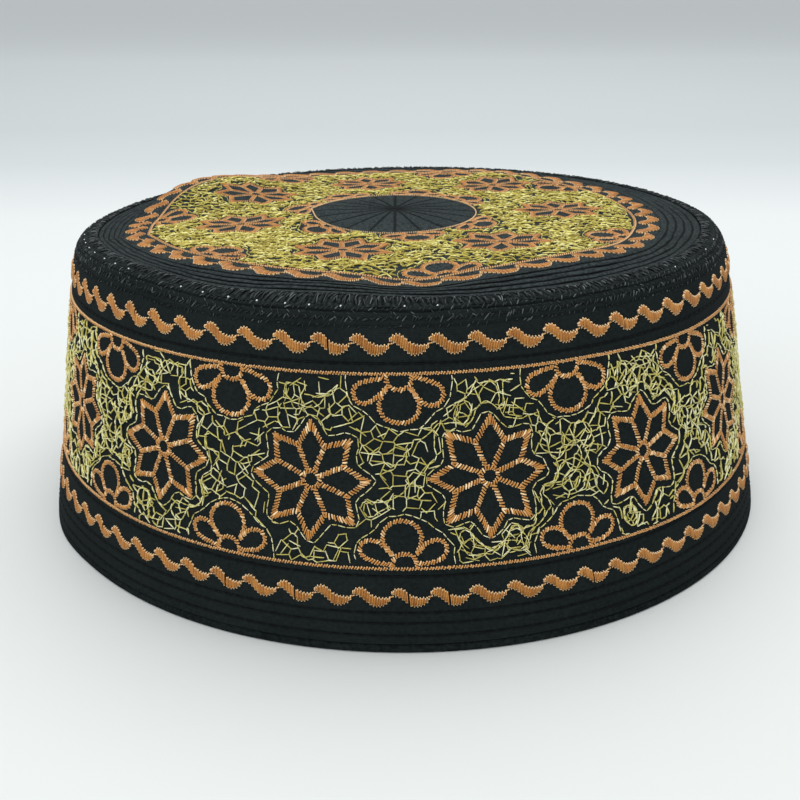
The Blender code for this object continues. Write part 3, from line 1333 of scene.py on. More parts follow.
@dataclass(frozen=True)
class ClothFinish:
    """Black poplin: fine ribs, lighter patches at random, painted shade in grooves and a soft sheen."""

    name: str
    deep: Colour
    bloom: Colour
    # Painted shade: the colour in the grooves and creases
    hollow: Colour = (0.0016, 0.002, 0.002)
    grain: float = 2.4
    rib: float = 0.00042
    roughness: float = 0.8
    flat_ribs: bool = False
    relief: float = 0.00007
    patch_scale: float = 90.0
    fine_scale: float = 1400.0
    gloss: float = 0.02

    def make(self) -> bpy.types.Material:
        """Build the material. The ribs are sines of the height, or of x and y on a level face.

        A value of each vertex is 1 in the rows of quilting, along the spokes and in the seam's creases,
        where the cloth takes painted shade.
        """
        finish = Finish(self.name)
        spot = finish.spot()
        patch = finish.noise(spot, self.patch_scale, 3.0)
        fine = finish.noise(spot, self.fine_scale)
        tone = (patch * 0.6 + fine * self.grain + (0.2 - self.grain / 2)).clamped()
        colour = finish.blend(tone, self.deep, self.bloom)
        # Painted shade in the grooves and creases
        colour = finish.blend(finish.value("dip").clamped(), colour, self.hollow)
        if self.flat_ribs:
            first, second = finish.axis(spot, 0), finish.axis(spot, 1)
            weave = (first * (TURN / self.rib)).sin() * 0.5 + (second * (TURN / self.rib)).sin() * 0.5
        else:
            weave = (finish.axis(spot, 2) * (TURN / self.rib)).sin()
        normal = finish.bump(weave * 0.5 + fine * 1.6, self.relief, 0.7)
        rough = self.roughness + (fine - 0.5) * 0.25
        links = {"Base Color": colour, "Roughness": rough, "Normal": normal}
        return finish.feed(links, {"Specular IOR Level": self.gloss})


class Thread(Enum):
    """The threads of the cap."""

    ORANGE = ThreadFinish(
        "orange_thread",
        deep=(0.35, 0.13, 0.024),
        full=(0.66, 0.308, 0.070),
        light=(1.0, 0.75, 0.44),
        foot=(0.07, 0.02, 0.005),
        light_share=0.16,
        end=0.00018,
        end_share=0.6,
        gloss=0.32,
    )
    # The orange thread with stronger and longer painted highlights at the stitch ends, as it is lit on the
    # crown
    ORANGE_CROWN = replace(
        ORANGE, name="orange_crown_border_thread", light=(1.0, 0.78, 0.47), end=0.00026, end_share=0.75
    )
    # The orange thread of the wave borders: a little darker, with wider painted highlights at the stitch
    # ends
    ORANGE_WIDE = replace(
        ORANGE, name="orange_border_thread", full=(0.61, 0.278, 0.061), end=0.00028, end_share=0.85
    )
    GREEN_GOLD = ThreadFinish(
        "green_gold_thread",
        deep=(0.48, 0.40, 0.075),
        full=(1.0, 0.925, 0.285),
        light=(1.0, 1.0, 0.72),
        foot=(0.07, 0.06, 0.012),
        light_share=0.5,
        end_share=0.15,
        foot_share=0.42,
    )
    # The band's green-gold thread again, with darker and more golden colours that paint how it is lit on the
    # crown
    CROWN_GOLD = ThreadFinish(
        "crown_gold_thread",
        deep=(0.36, 0.28, 0.032),
        full=(0.84, 0.735, 0.15),
        light=(0.94, 0.90, 0.42),
        foot=(0.035, 0.027, 0.006),
        light_share=0.4,
        end_share=0.15,
        foot_share=0.6,
        gloss=0.32,
    )
    # Its light colour paints glints on the lightest fifth of the stitches
    BLACK = ThreadFinish(
        "black_thread",
        deep=(0.010, 0.013, 0.0132),
        full=(0.042, 0.052, 0.053),
        light=(0.15, 0.172, 0.174),
        foot=(0.0012, 0.0016, 0.0016),
        light_share=0.2,
        end_share=0.0,
        roughness=0.45,
        gloss=0.16,
    )
    QUILTING = ThreadFinish(
        "black_quilting_thread",
        deep=(0.003, 0.0035, 0.0035),
        full=(0.006, 0.0075, 0.0075),
        light=(0.008, 0.01, 0.01),
        foot=(0.002, 0.002, 0.002),
        roughness=0.7,
        gloss=0.1,
    )
    # Pale knots that paint glints along the seam
    PALE = ThreadFinish(
        "pale_knot_thread",
        deep=(0.22, 0.24, 0.24),
        full=(0.55, 0.6, 0.6),
        light=(0.9, 0.92, 0.92),
        foot=(0.03, 0.03, 0.03),
    )


class Ground(Enum):
    """The cloths of the cap."""

    BAND = ClothFinish(
        "black_band_cloth", deep=(0.0066, 0.0088, 0.009), bloom=(0.0146, 0.0192, 0.0196), grain=1.5
    )
    # Set lighter than the band: its colours hold painted sheen of the light from above
    CROWN = ClothFinish(
        "black_crown_cloth",
        deep=(0.0125, 0.0165, 0.017),
        bloom=(0.0415, 0.0525, 0.0535),
        grain=3.0,
        flat_ribs=True,
    )
    # Set lighter than the band: its lighter colour holds painted sheen
    SEAM = ClothFinish(
        "black_seam_cloth", deep=(0.006, 0.0078, 0.008), bloom=(0.026, 0.0335, 0.034), grain=3.0
    )
    EDGING = ClothFinish("black_edging_cloth", deep=(0.0045, 0.006, 0.0062), bloom=(0.014, 0.0185, 0.019))


class Wardrobe:
    """Makes each finish once and puts it on pieces."""

    def __init__(self) -> None:
        """Start with nothing made."""
        self.made: dict[Enum, bpy.types.Material] = {}

    def dress(self, piece: Piece, finish: Enum, slot: str) -> Piece:
        """Give a piece its material, and let it ride with the cap."""
        if finish not in self.made:
            self.made[finish] = finish.value.make()
        piece.data.materials.append(self.made[finish])
        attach(piece, BODY)
        LOG.info("%s: %d faces", piece.name, len(piece.data.polygons))
        return piece


# Sub-assemblies


@dataclass(frozen=True)
class QuiltRow:
    """One row of quilting: its way up the face, its groove, and whether the row is stitched.

    Waver is how far the row strays up and down, and a row with front_only fades out at the sides.
    """

    way_up: float
    depth: float = 0.00022
    spread: float = 0.00035
    sewn: bool = True
    waver: float = 0.00006
    front_only: bool = False

    def groove(self, chart: Array, reach: float) -> Array:
        """How far the row sinks the cloth at chart points: a bell over the distance to the row."""
        angle = chart[..., 0] / reach
        stray = self.waver * waver(angle, self.way_up * 1000)
        depth = self.depth * bell(chart[..., 1] - self.way_up, stray, self.spread)
        if self.front_only:
            depth = depth * (0.15 + 0.85 * np.maximum(np.cos(angle), 0.0) ** 2)
        return depth


@dataclass
class SideBand:
    """The quilted wall of the cap, from the hem over the shoulder, with its rows of stitching.

    A thread is (width, rise). Between the two numbers of few_ties a pale glint knot has the first of
    tie_chances, and elsewhere the second.
    """

    form: CapForm
    columns: int = 432
    face_steps: int = 60
    row_steps: int = 9
    row_reach: float = 2.2
    lining_steps: int = 30
    rows: tuple[QuiltRow, ...] = (
        QuiltRow(0.0016, depth=0.00010, sewn=False),
        QuiltRow(0.0039, depth=0.00016),
        QuiltRow(0.0066, depth=0.00016),
        QuiltRow(0.0089, depth=0.00016),
        QuiltRow(0.0166, depth=0.00018),
        QuiltRow(0.0582, depth=0.00018),
        QuiltRow(0.0650, depth=0.00012, waver=0.0002, sewn=False),
        QuiltRow(0.0663, depth=0.00012, waver=0.0003, sewn=False),
        QuiltRow(0.0678, depth=0.00026, spread=0.00024, waver=0.00025, sewn=False, front_only=True),
        QuiltRow(0.0689, depth=0.00034, spread=0.00024, waver=0.0004, sewn=False, front_only=True),
    )
    dash: float = 0.0024
    dash_share: float = 0.8
    full_dip: float = 0.0004
    knot_rows: tuple[tuple[float, ...], ...] = (
        (0.0010, 0.0659, 0.0667, 0.0008, 0.00034), (0.0021, 0.0662, 0.0669, -0.0005, 0.0003),
        (0.0013, 0.0648, 0.0652, 0.0004, 0.0003), (0.0011, 0.0679, 0.0686, 0.0006, 0.00034),
        (0.0019, 0.0671, 0.0676, -0.0006, 0.0003),
    )
    dash_thread: Pair = (0.0004, 0.00018)
    knot_rise: float = 0.0002
    knot_stray: float = 0.00017
    tie_count: int = 84
    tie_seed: int = 11980
    tie_up: float = 0.0688
    tie_shift: float = 0.0007
    tie_stray: float = 0.0006
    tie_step: Pair = (0.00035, 0.00025)
    tie_thread: Pair = (0.0004, 0.0003)
    tie_chances: Pair = (0.15, 0.75)
    few_ties: tuple[int, int] = (1, 36)

    def groove(self, chart: Array) -> Array:
        """How far the face sinks at chart points: the sum of all its rows of quilting."""
        reach = BandCloth(self.form).reach
        return sum(row.groove(chart, reach) for row in self.rows)

    def build(self) -> Piece:
        """The wall as a closed profile carried round the cap: face, shoulder, lip and lining."""
        form, cloth = self.form, BandCloth(self.form)
        bottom = form.edging_height + form.gap
        top = cloth.section()[-2, 0] + form.lip_inset - form.shoulder_in
        around_row = np.linspace(-self.row_reach, self.row_reach, self.row_steps)
        fine = [around_row * row.spread + row.way_up for row in self.rows]
        up = np.concatenate([np.linspace(bottom, top, self.face_steps), *fine])
        up = np.unique(np.round(up[(up >= bottom) & (up <= top)], 5))
        way = even_turns(self.columns)
        around = np.broadcast_to(way * cloth.reach, (len(up), self.columns))
        chart = pair(around, np.broadcast_to(up[:, None], around.shape))
        sag = self.groove(chart)
        face = cloth.place(chart) - cloth.normals(chart) * sag[..., None]
        angle = form.oval_angle(way)
        lip_bottom = form.rim_height - form.lip_thickness
        inner = [(form.lip_inset, lip_bottom), (form.wall, lip_bottom - form.lip_round)]
        heights = np.linspace(lip_bottom - 2 * form.lip_round, bottom, self.lining_steps)
        inner += [(form.wall, z) for z in heights]
        piece = loft("band_cloth", np.concatenate([face, form.rings(angle, inner)]), closed=True)
        # Painted shade in the quilting grooves, in step with their depth
        add_values(piece, "dip", np.concatenate([sag / self.full_dip, np.zeros((len(inner), self.columns))]))
        return piece

    def running_stitches(self) -> Stitches:
        """Dashes of black thread in the sewn rows."""
        cloth = BandCloth(self.form)
        batches = []
        for row in (row for row in self.rows if row.sewn):
            start = cloth.row(int(cloth.around() / self.dash), row.way_up)
            end = start + [self.dash_share * self.dash, 0.0]
            batches.append(Stitches.of(start, end, *self.dash_thread, lift=-row.depth * 0.6))
        return Stitches.joined(batches)

    def knots(self) -> Stitches:
        """The uneven rows of small slanted black stitches on the shoulder, crossed by a few others.

        Each row is (pitch, lower end, upper end, lean, width).
        """
        cloth = BandCloth(self.form)
        rng = np.random.default_rng(3)
        batches = []
        for pitch, low, high, lean, width in self.knot_rows:
            start = cloth.row(int(cloth.around() / pitch), low)
            start[:, 0] += rng.normal(0.0, pitch / 4, len(start))
            end = pair(start[:, 0] + lean, np.full(len(start), high))
            batches.append(Stitches.of(start, end, width, self.knot_rise).loosened(rng, self.knot_stray))
        return Stitches.joined(batches)

    def ties(self) -> Stitches:
        """Small pale knots along the seam that paint glints of its thread, few of them right of the front.
        """
        count = self.tie_count
        rng = np.random.default_rng(self.tie_seed)
        start = BandCloth(self.form).row(count, self.tie_up)
        start[:, 0] = self.tie_shift + start[:, 0] + rng.normal(0.0, self.tie_stray, count)
        number = np.arange(count)
        few = (number > self.few_ties[0]) & (number < self.few_ties[1])
        start = start[rng.uniform(size=count) < np.where(few, *self.tie_chances)]
        return Stitches.of(start, start + self.tie_step, *self.tie_thread, lift=-0.0001)

    def dress(self, wardrobe: Wardrobe) -> None:
        """Build the wall and its black stitching, and dress them."""
        band = wardrobe.dress(self.build(), Ground.BAND, "band_cloth")
        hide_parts("side_band")
        for name, batch, seed, thread, slot in (
            ("band_quilting", self.running_stitches(), 11, Thread.QUILTING, "band_cloth"),
            ("shoulder_knots", self.knots(), 12, Thread.BLACK, "seam_thread"),
            # The pale knots paint glints along the seam
            ("seam_ties", self.ties(), 15, Thread.PALE, "seam_thread"),
        ):
            wardrobe.dress(sew(name, BandCloth(self.form), batch, THIN_CUT, seed), thread, slot)


@dataclass
class HemEdging:
    """The rolled edge that the cap stands on: a soft strip with a flat sole."""

    form: CapForm
    columns: int = 360
    depth: float = 0.0034
    out: float = 0.0001
    flat: float = 0.0008
    corner: float = 0.0005
    corner_steps: int = 5

    def build(self) -> Piece:
        """The strip's profile, a rectangle with rounded corners, carried round the cap."""
        form = self.form
        inner, top = self.depth - self.out, form.edging_height
        wide = self.flat - self.out
        turn = np.linspace(0.0, math.pi / 2, self.corner_steps)
        arc = pair(1 - np.sin(turn), 1 - np.cos(turn)) * [wide, self.corner]
        low_out = arc + [self.out, 0.0]
        high_out = arc[::-1] * [1.0, -1.0] + [self.out, top]
        high_in = arc * [-1.0, -1.0] + [inner, top]
        low_in = arc[::-1] * [-1.0, 1.0] + [inner, 0.0]
        profile = np.vstack([low_out, high_out, high_in, low_in])
        angle = even_turns(self.columns)
        piece = loft("hem_roll", form.rings(angle, profile), closed=True)
        add_values(piece, "dip", np.zeros(len(profile) * self.columns))
        return piece

    def dress(self, wardrobe: Wardrobe) -> None:
        """Build the strip and dress it."""
        roll = wardrobe.dress(self.build(), Ground.EDGING, "edging_thread")
        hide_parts("hem_edging")


@dataclass
class Crown:
    """The quilted top: a plain disc with radial rows, a flat pattern ring and a ribbed margin.

    A thread is (width, rise). Spoke_dashes is (first, end, step) as shares of a spoke's length.
    """

    form: CapForm
    columns: int = 540
    centre: Pair = (-0.0023, 0.0054)
    disc: Ring = Ring(-0.0023, 0.0013, 0.0207, 1.21, (-97.0, 18.0))
    inner_line: Ring = Ring(-0.0023, 0.0013, 0.0210, 1.20, (-97.0, 18.0))
    outer_line: Ring = Ring(-0.0026, 0.0006, 0.0616, 1.035, (-71.0, 11.0), OUTER_BULGES)
    margin: Ring = Ring(-0.0026, 0.0009, 0.0676, 1.035, (-71.0, 11.0), OUTER_BULGES)
    margin_inset: float = 0.0056
    margin_rows: int = 5
    spokes: int = 20
    puff: float = 0.00030
    margin_puff: float = 0.00034
    margin_waver: float = 0.00026
    dash: float = 0.0021
    spoke_width: float = 0.00033
    dash_thread: Pair = (0.0003, 0.00008)
    spoke_thread: Pair = (0.0003, 0.0001)
    spoke_dip: float = 0.9
    dash_share: float = 0.82
    spoke_dashes: Triple = (0.02, 0.96, 0.095)
    spoke_dash: float = 0.085
    disc_rings: int = 22
    flat_rings: int = 41
    row_rings: int = 9
    last_inset: float = 0.0048

    def margin_line(self, azimuth: Array, share: float) -> Array:
        """Chart points between the pattern's edge and the seam, a share of the way across."""
        cloth = CrownCloth(self.form)
        inner = self.margin.point(azimuth)
        outer = cloth.edge(azimuth, self.margin_inset + self.form.swell(azimuth))
        stray = self.margin_waver * waver(azimuth, share * 6) * math.sin(math.pi * min(share, 1.0))
        return inner + (outer - inner) * share + unit(outer - inner) * np.asarray(stray)[..., None]

    def build(self) -> Piece:
        """The top face as rings from the middle to the edge, then a plain underside.

        The disc swells between its spokes by the square root of a sine, and the margin swells
        between its rows by a flatter root of one. Painted shade darkens the spokes and the grooves
        between the margin's rows.
        """
        form, cloth = self.form, CrownCloth(self.form)
        azimuth, centre = even_turns(self.columns), np.array(self.centre)
        level = np.zeros(self.columns)
        phase = np.abs(np.sin(azimuth * self.spokes / 2))
        inner, outer = self.disc.point(azimuth), self.margin.point(azimuth)
        rings = []
        for share in np.linspace(0.04, 1.0, self.disc_rings):
            fade = smooth_step(0.0, 0.5, share) * (1 - smooth_step(0.93, 1.0, share))
            reach = share * self.disc.radius * phase / self.spokes * 2
            # Painted shade along each spoke
            dip = self.spoke_dip * bell(reach, 0.0, self.spoke_width)
            rings.append((centre + (inner - centre) * share, self.puff * np.sqrt(phase) * fade, dip))
        for share in np.linspace(0.0, 1.0, self.flat_rings + 1)[1:]:
            rings.append((inner + (outer - inner) * share, level, level))
        steps = self.margin_rows * self.row_rings
        for number in range(1, steps + 1):
            share = number / steps
            wave = abs(math.sin(math.pi * share * self.margin_rows))
            full = 0.8 + 0.25 * waver(azimuth, 40 * math.floor(share * self.margin_rows - 0.01))
            # Painted shade in the grooves between the margin's rows, strongest towards the front and
            # narrower at the sides
            dark = 0.85 + 0.85 * np.cos(azimuth) + 0.4 * waver(azimuth, 7 * share)
            side = np.sin(azimuth) ** 2
            half = (1 - abs(math.sin(TURN * share * self.margin_rows))) ** 2
            row = (1 - wave) ** (1.1 + 1.3 * side) + 0.3 * side * half
            dip = np.minimum(np.clip(dark, 0.3, 1.8) * row, 1.0)
            rings.append((self.margin_line(azimuth, share), self.margin_puff * wave**0.35 * full, dip))
        for inset in (self.last_inset, form.lip_inset + form.gap):
            rings.append((cloth.edge(azimuth, np.full_like(azimuth, inset)), level, level))
        chart, swell, dip = (np.stack(parts) for parts in zip(*rings))
        top = cloth.place(chart) + cloth.normals(chart) * swell[..., None]
        drop = [0.0, 0.0, form.crown_thickness]
        under = cloth.place(np.concatenate([chart[4:-1:4], chart[-1:]])) - drop
        middle = cloth.place(centre)
        points = np.concatenate([under, top[::-1]])
        piece = loft("crown_cloth", points, closed=False, poles=(middle - drop, middle))
        dip = np.concatenate([np.zeros((len(under), self.columns)), dip[::-1]]).ravel()
        add_values(piece, "dip", np.append(dip, [0.0, 1.0]))
        return piece

    def quilting(self) -> Stitches:
        """Black dashes round the margin's rows and along the disc's spokes."""
        batches = []
        count = int(TURN * self.margin.radius / self.dash)
        begin = even_turns(count)
        for row in range(self.margin_rows + 1):
            share = row / self.margin_rows
            start = self.margin_line(begin, share)
            end = self.margin_line(begin + self.dash_share * TURN / count, share)
            batches.append(Stitches.of(start, end, *self.dash_thread))
        centre = np.array(self.centre)
        azimuth = even_turns(self.spokes)
        reach = self.disc.point(azimuth) - centre
        for share in np.arange(*self.spoke_dashes):
            start = centre + reach * share
            end = centre + reach * (share + self.spoke_dash)
            batches.append(Stitches.of(start, end, *self.spoke_thread))
        return Stitches.joined(batches)

    def dress(self, wardrobe: Wardrobe) -> None:
        """Build the crown and its black stitching, and dress them."""
        crown = wardrobe.dress(self.build(), Ground.CROWN, "crown_cloth")
        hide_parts("crown")
        rows = sew("crown_quilting", CrownCloth(self.form), self.quilting(), THIN_CUT, seed=13)
        wardrobe.dress(rows, Thread.QUILTING, "crown_cloth")


@dataclass(frozen=True)
class SeamCloth(Cloth):
    """The arched top of the seam ridge. Its chart is (way round, angle over the arch in metres)."""

    form: CapForm
    reach: float = 0.0800
    outer: float = 0.0020
    inner: float = 0.0055
    outer_foot: float = -0.00028
    inner_foot: float = 0.0002
    height: float = 0.0004

    def place(self, chart: Array) -> Array:
        """Points of the arch, from the shoulder to the crown's margin.

        The height over the feet is a sine to the power of 1.5, higher where the seam is wider.
        """
        form = self.form
        angle = np.clip(chart[..., 1] * 1000.0, 0.0, math.pi)
        across = (1 - np.cos(angle)) / 2
        around = form.oval_angle(chart[..., 0] / self.reach)
        swell = form.swell(around)
        foot = self.outer_foot + across * (self.inner_foot - self.outer_foot)
        up = foot + (self.height + 0.15 * swell) * np.maximum(np.sin(angle), 0.0) ** 1.5
        inset = self.outer + across * (self.inner + swell - self.outer)
        flat = form.loop(around, inset, np.full_like(inset, form.rim_height))
        return flat + upward(up)


@dataclass
class CrownSeam:
    """The overcast ridge that joins the crown to the band."""

    form: CapForm
    folds: int = 400
    columns: int = 2400
    depth: float = 0.00034
    pitch: float = 0.00062
    thread: Pair = (0.00030, 0.00020)
    stray: float = 0.0004
    arch_end: float = 0.02
    arch_steps: int = 13
    second_pitch: float = 2.2
    slant: float = 0.0006
    second_lift: float = 0.0001

    def hem(self, angle: Array) -> Array:
        """The share of the way over the ridge that stays smooth, most at the cap's two sides."""
        return 0.08 + 0.27 * np.sin(angle) ** 2

    def pucker(self, angle: Array, share: Array) -> Array:
        """How full the ridge's small folds are, from 0 in a crease to 1 on a fold.

        It is the absolute sine of a phase that runs round the ridge at an uneven pace, and leans
        across it by an amount that changes slowly.
        """
        pace = 0.8 * np.sin(37 * angle + 0.4) + 0.5 * np.sin(90 * angle) + 0.35 * np.sin(151 * angle + 2.0)
        lean = 1.2 + 1.7 * np.sin(5 * angle + 0.6) + 1.3 * np.sin(13 * angle + 1.0)
        bow = 0.7 * np.sin(23 * angle) * np.sin(math.pi * share)
        return np.abs(np.sin(self.folds * angle / 2 + pace + lean * (share - 0.5) + bow))

    def build(self) -> Piece:
        """The puckered ridge: an arch above and a flat sole below, carried round the cap."""
        cloth = SeamCloth(self.form)
        angle = even_turns(self.columns)
        arch = np.linspace(self.arch_end, math.pi - self.arch_end, self.arch_steps)
        around, over = np.meshgrid(angle * cloth.reach, arch * MM)
        chart = pair(around, over)
        share = arch[:, None] / math.pi
        fold = self.pucker(angle[None], share)
        hem = self.hem(angle)[None]
        window = np.sin(arch)[:, None] ** 0.5 * np.clip((share - hem) / 0.15 + 0.5, 0.0, 1.0)
        sag = self.depth * (1 - np.sqrt(fold)) * window
        points = cloth.place(chart) - upward(sag)
        piece = loft("seam_ridge", points, closed=True)
        # Painted shade in the creases between the folds
        add_values(piece, "dip", np.minimum(1.3 * (1 - fold) ** 1.3, 1.0) * window)
        return piece

    def overcast(self) -> Stitches:
        """Fine stitches over the ridge, from the shoulder to the crown's margin, both ways."""
        cloth = SeamCloth(self.form)
        rng = np.random.default_rng(5)
        batches = []
        first = (self.pitch, self.slant, 0.0)
        second = (self.second_pitch * self.pitch, -self.slant, self.second_lift)
        for pitch, slant, lift in (first, second):
            count = int(TURN * cloth.reach / pitch)
            begin = np.arange(count) * TURN * cloth.reach / count + rng.normal(0.0, self.stray, count)
            lean = slant + rng.normal(0.0, self.stray, count)
            hem = math.pi * self.hem(begin / cloth.reach)
            low = (hem + (2.3 - hem) * rng.uniform(0.0, 1.0, count)) * MM
            high = np.minimum(low + rng.uniform(0.6, 1.5, count) * MM, 3.0 * MM)
            start = pair(begin, low)
            end = pair(begin + lean * (high - low) / (1.6 * MM), high)
            batches.append(Stitches.of(start, end, *self.thread, lift))
        return Stitches.joined(batches)

    def dress(self, wardrobe: Wardrobe) -> None:
        """Build the ridge and its stitches, and dress them."""
        ridge = wardrobe.dress(self.build(), Ground.SEAM, "seam_thread")
        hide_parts("crown_seam")
        cut = ThreadCut(
            section=((-1.0, 0.0), (-0.5, 0.9), (0.5, 0.9), (1.0, 0.0)),
            rings=((0.06, 0.7, 0.5), (0.25, 1.0, 1.0), (0.5, 1.0, 1.0), (0.75, 1.0, 1.0), (0.94, 0.7, 0.5)),
        )
        stitches = sew("seam_overcast", SeamCloth(self.form), self.overcast(), cut, seed=14)
        wardrobe.dress(stitches, Thread.BLACK, "seam_thread")


@dataclass
class Embroidery:
    """What the band and the crown have in common: motifs, their loops, and the network.

    Looks are the thread and the range of shades of each part, in the order of PARTS. A subclass
    adds its cloth, its looks, the places of its motifs and the layers of its network.
    """

    form: CapForm
    star: StarMotif = StarMotif()
    hanging: HalfFlowerMotif = HANGING_FLOWER
    standing: HalfFlowerMotif = STANDING_FLOWER
    border: WaveBorder = WaveBorder()
    network: Network = Network()

    def settled(self, chart: Array) -> Array:
        """Chart points of the pattern, moved to where they settle. Here they stay."""
        return chart

    def fill(self, low: Array, high: Array, free, rng: Rng) -> Stitches:
        """The network over an area of the chart: cells, wandering threads and a few crossings."""
        batches = []
        for layer in self.layers:
            edges = cell_edges(low, high, layer.spacing, self.wrap, rng)
            batches.append(self.network.web(edges, layer, free, rng))
        batches.append(self.network.wander(low, high, self.wander, free, rng))
        batches.append(self.network.crossing(low, high, self.crossings, free, rng))
        return Stitches.joined(batches)

    def dress(self, wardrobe: Wardrobe) -> None:
        """Sew every part of the embroidery, each named after the cloth that it is on."""
        batches = [*self.web(), *self.stars_and_flowers(), self.lines()]
        batches = [batch.moved(self.settled) for batch in batches] + [self.borders()]
        for number, ((part, cut), batch, (thread, shades)) in enumerate(zip(PARTS, batches, self.looks)):
            piece = sew(f"{self.on}_{part}", self.cloth, batch, cut, self.seed + number, shades)
            wardrobe.dress(piece, thread, f"{self.on}_cloth")


@dataclass
class BandEmbroidery(Embroidery):
    """The embroidery of the band: stars, half-flowers on two lines, a network and two borders.

    Star drifts are (millimetres up, degrees of turn, degrees aside), and wave rows are (waves,
    first azimuth, way up, swing).
    """

    on: str = "band"
    seed: int = 30
    looks: tuple[tuple[Thread, Pair], ...] = (
        (Thread.GREEN_GOLD, (0.4, 1.0)),
        (Thread.GREEN_GOLD, (0.15, 1.0)),
        (Thread.ORANGE, (0.25, 1.05)),
        (Thread.ORANGE, (0.25, 1.0)),
        (Thread.ORANGE, (0.0, 0.85)),
        (Thread.ORANGE_WIDE, (-0.05, 0.8)),
    )
    stars: int = 16
    star_up: float = 0.0356
    star_azimuth: float = -11.6
    star_swing: float = 0.9
    star_drifts: tuple[Triple, ...] = (
        (-0.2, -1.0, 0.0), (0.32, -1.0, -0.14), (-0.6, 0.0, 0.39), (1.4, 0.0, 0.0),
        (0.5, -2.0, 0.0), (1.0, 1.0, 0.0), (-0.4, 2.0, 0.0), (0.5, -1.0, 0.0), (0.0, -3.0, 0.0),
        (-0.5, 2.0, 0.0), (0.3, 0.0, 0.0), (0.1, -2.0, 0.0), (-0.2, 1.0, 0.0), (0.6, 2.0, 0.0),
        (0.9, -2.0, 0.0), (0.9, -2.0, 0.19),
    )
    sag: float = 0.0008
    sag_ends: tuple[float, float, float, float] = (22.0, 50.0, 90.0, 150.0)
    lower_line: float = 0.01825
    upper_line: float = 0.0563
    upper_azimuth: float = -0.35
    upper_swing: float = 0.75
    lower_azimuth: float = -0.1
    lower_swing: float = 1.45
    line_width: float = 0.00056
    line_pitch: float = 0.00054
    line_thread: Pair = (0.00048, 0.00046)
    line_slant: float = 36.0
    wave_rows: tuple[tuple[int, float, float, float], ...] = (
        (68, -1.5, 0.0618, -0.4),
        (75, -1.78, 0.0123, 0.0),
    )
    layers: tuple[WebLayer, ...] = (
        WebLayer(spacing=0.0025, kept=0.82, lift=0.0),
        WebLayer(spacing=0.0029, kept=0.4, lift=0.00012, patchy=0.25, room=0.0002),
    )
    wander: Wander = Wander(count=270)
    wrap: bool = True
    crossings: int = 180
    room: float = 0.0004
    contour_room: float = 0.0006

    def __post_init__(self) -> None:
        """Set out the motifs: (azimuth, way up, turn, size) and (azimuth, line, way, motif)."""
        self.cloth = BandCloth(self.form)
        rng = np.random.default_rng(21)
        self.star_places, self.flower_places = [], []
        for number, (drift, turn, aside) in enumerate(self.star_drifts):
            star = self.swung(self.star_azimuth, number, self.star_swing) + aside
            upper = self.swung(self.upper_azimuth, number, self.upper_swing)
            lower = self.swung(self.lower_azimuth, number, self.lower_swing)
            self.star_places.append((star, self.star_up + drift * MM, turn, 1 + rng.normal(0.0, 0.012)))
            self.flower_places.append((upper, self.upper_line, -1.0, self.hanging))
            self.flower_places.append((lower, self.lower_line, 1.0, self.standing))

    def swung(self, first: float, number: int, swing: float) -> float:
        """The azimuth of one of the even steps, moved by a sine that widens them at the front."""
        azimuth = first + 360 / self.stars * number
        return azimuth + swing * math.sin(math.radians(azimuth))

    def settled(self, chart: Array) -> Array:
        """Chart points of the pattern, moved down where it sags at the right of the front."""
        azimuth = np.degrees(chart[..., 0] / self.cloth.reach) % 360
        first, full, last, end = self.sag_ends
        share = smooth_step(first, full, azimuth) * (1 - smooth_step(last, end, azimuth))
        return chart - pair(0 * share, self.sag * share)

    def star_at(self, place: tuple[float, float, float, float], local: Array) -> Array:
        """Chart points of a star's own points."""
        azimuth, up, turn, size = place
        return self.cloth.at(azimuth, up, size * local @ turned(turn))

    def stars_and_flowers(self) -> tuple[Stitches, Stitches]:
        """All stars, and all half-flowers. One that hangs is turned half round."""
        rng = np.random.default_rng(22)
        stars, flowers = [], []
        for place in self.star_places:
            stars.append(self.star.draw(rng).moved(partial(self.star_at, place)))
        for azimuth, line, way, motif in self.flower_places:
            flowers.append(motif.draw(rng).moved(partial(self.cloth.at, azimuth, line, way=way)))
        stars = Stitches.joined(stars).loosened(rng, 0.00006)
        return stars, Stitches.joined(flowers).loosened(rng, 0.00005)

    def lines(self) -> Stitches:
        """The two cords that close the pattern above and below."""
        batches = []
        for up in (self.lower_line, self.upper_line):
            path = np.array([[0.0, up], [self.cloth.around(), up]])
            thread, rise = self.line_thread
            line = satin(path, self.line_width, self.line_pitch, self.line_slant, thread=thread, rise=rise)
            batches.append(line)
        return Stitches.joined(batches).loosened(np.random.default_rng(23), 0.00004)

    def borders(self) -> Stitches:
        """The two wave borders."""
        rng = np.random.default_rng(24)
        batches = []
        for count, first, up, swing in self.wave_rows:
            step = self.cloth.around() / count / self.cloth.squeeze(up)
            for number in range(count):
                azimuth = first + number * 360 / count
                azimuth += swing * math.sin(4 * math.radians(azimuth))
                drawn = self.border.draw(step, rng)
                batches.append(drawn.moved(partial(self.cloth.at, azimuth, up)))
        return Stitches.joined(batches)

    def free(self, halos: list, chart: Array) -> Array:
        """How far chart points are from the nearest motif's loop or line, less than 0 inside."""
        around = self.cloth.around()
        nearest = np.minimum(chart[..., 1] - self.lower_line, self.upper_line - chart[..., 1]) - self.room
        for middle, halo, squeeze, way in halos:
            offset = chart - middle
            offset = pair((offset[..., 0] + around / 2) % around - around / 2, offset[..., 1])
            nearest = np.minimum(nearest, halo.clearance(offset / [squeeze, 1.0] * way))
        return nearest

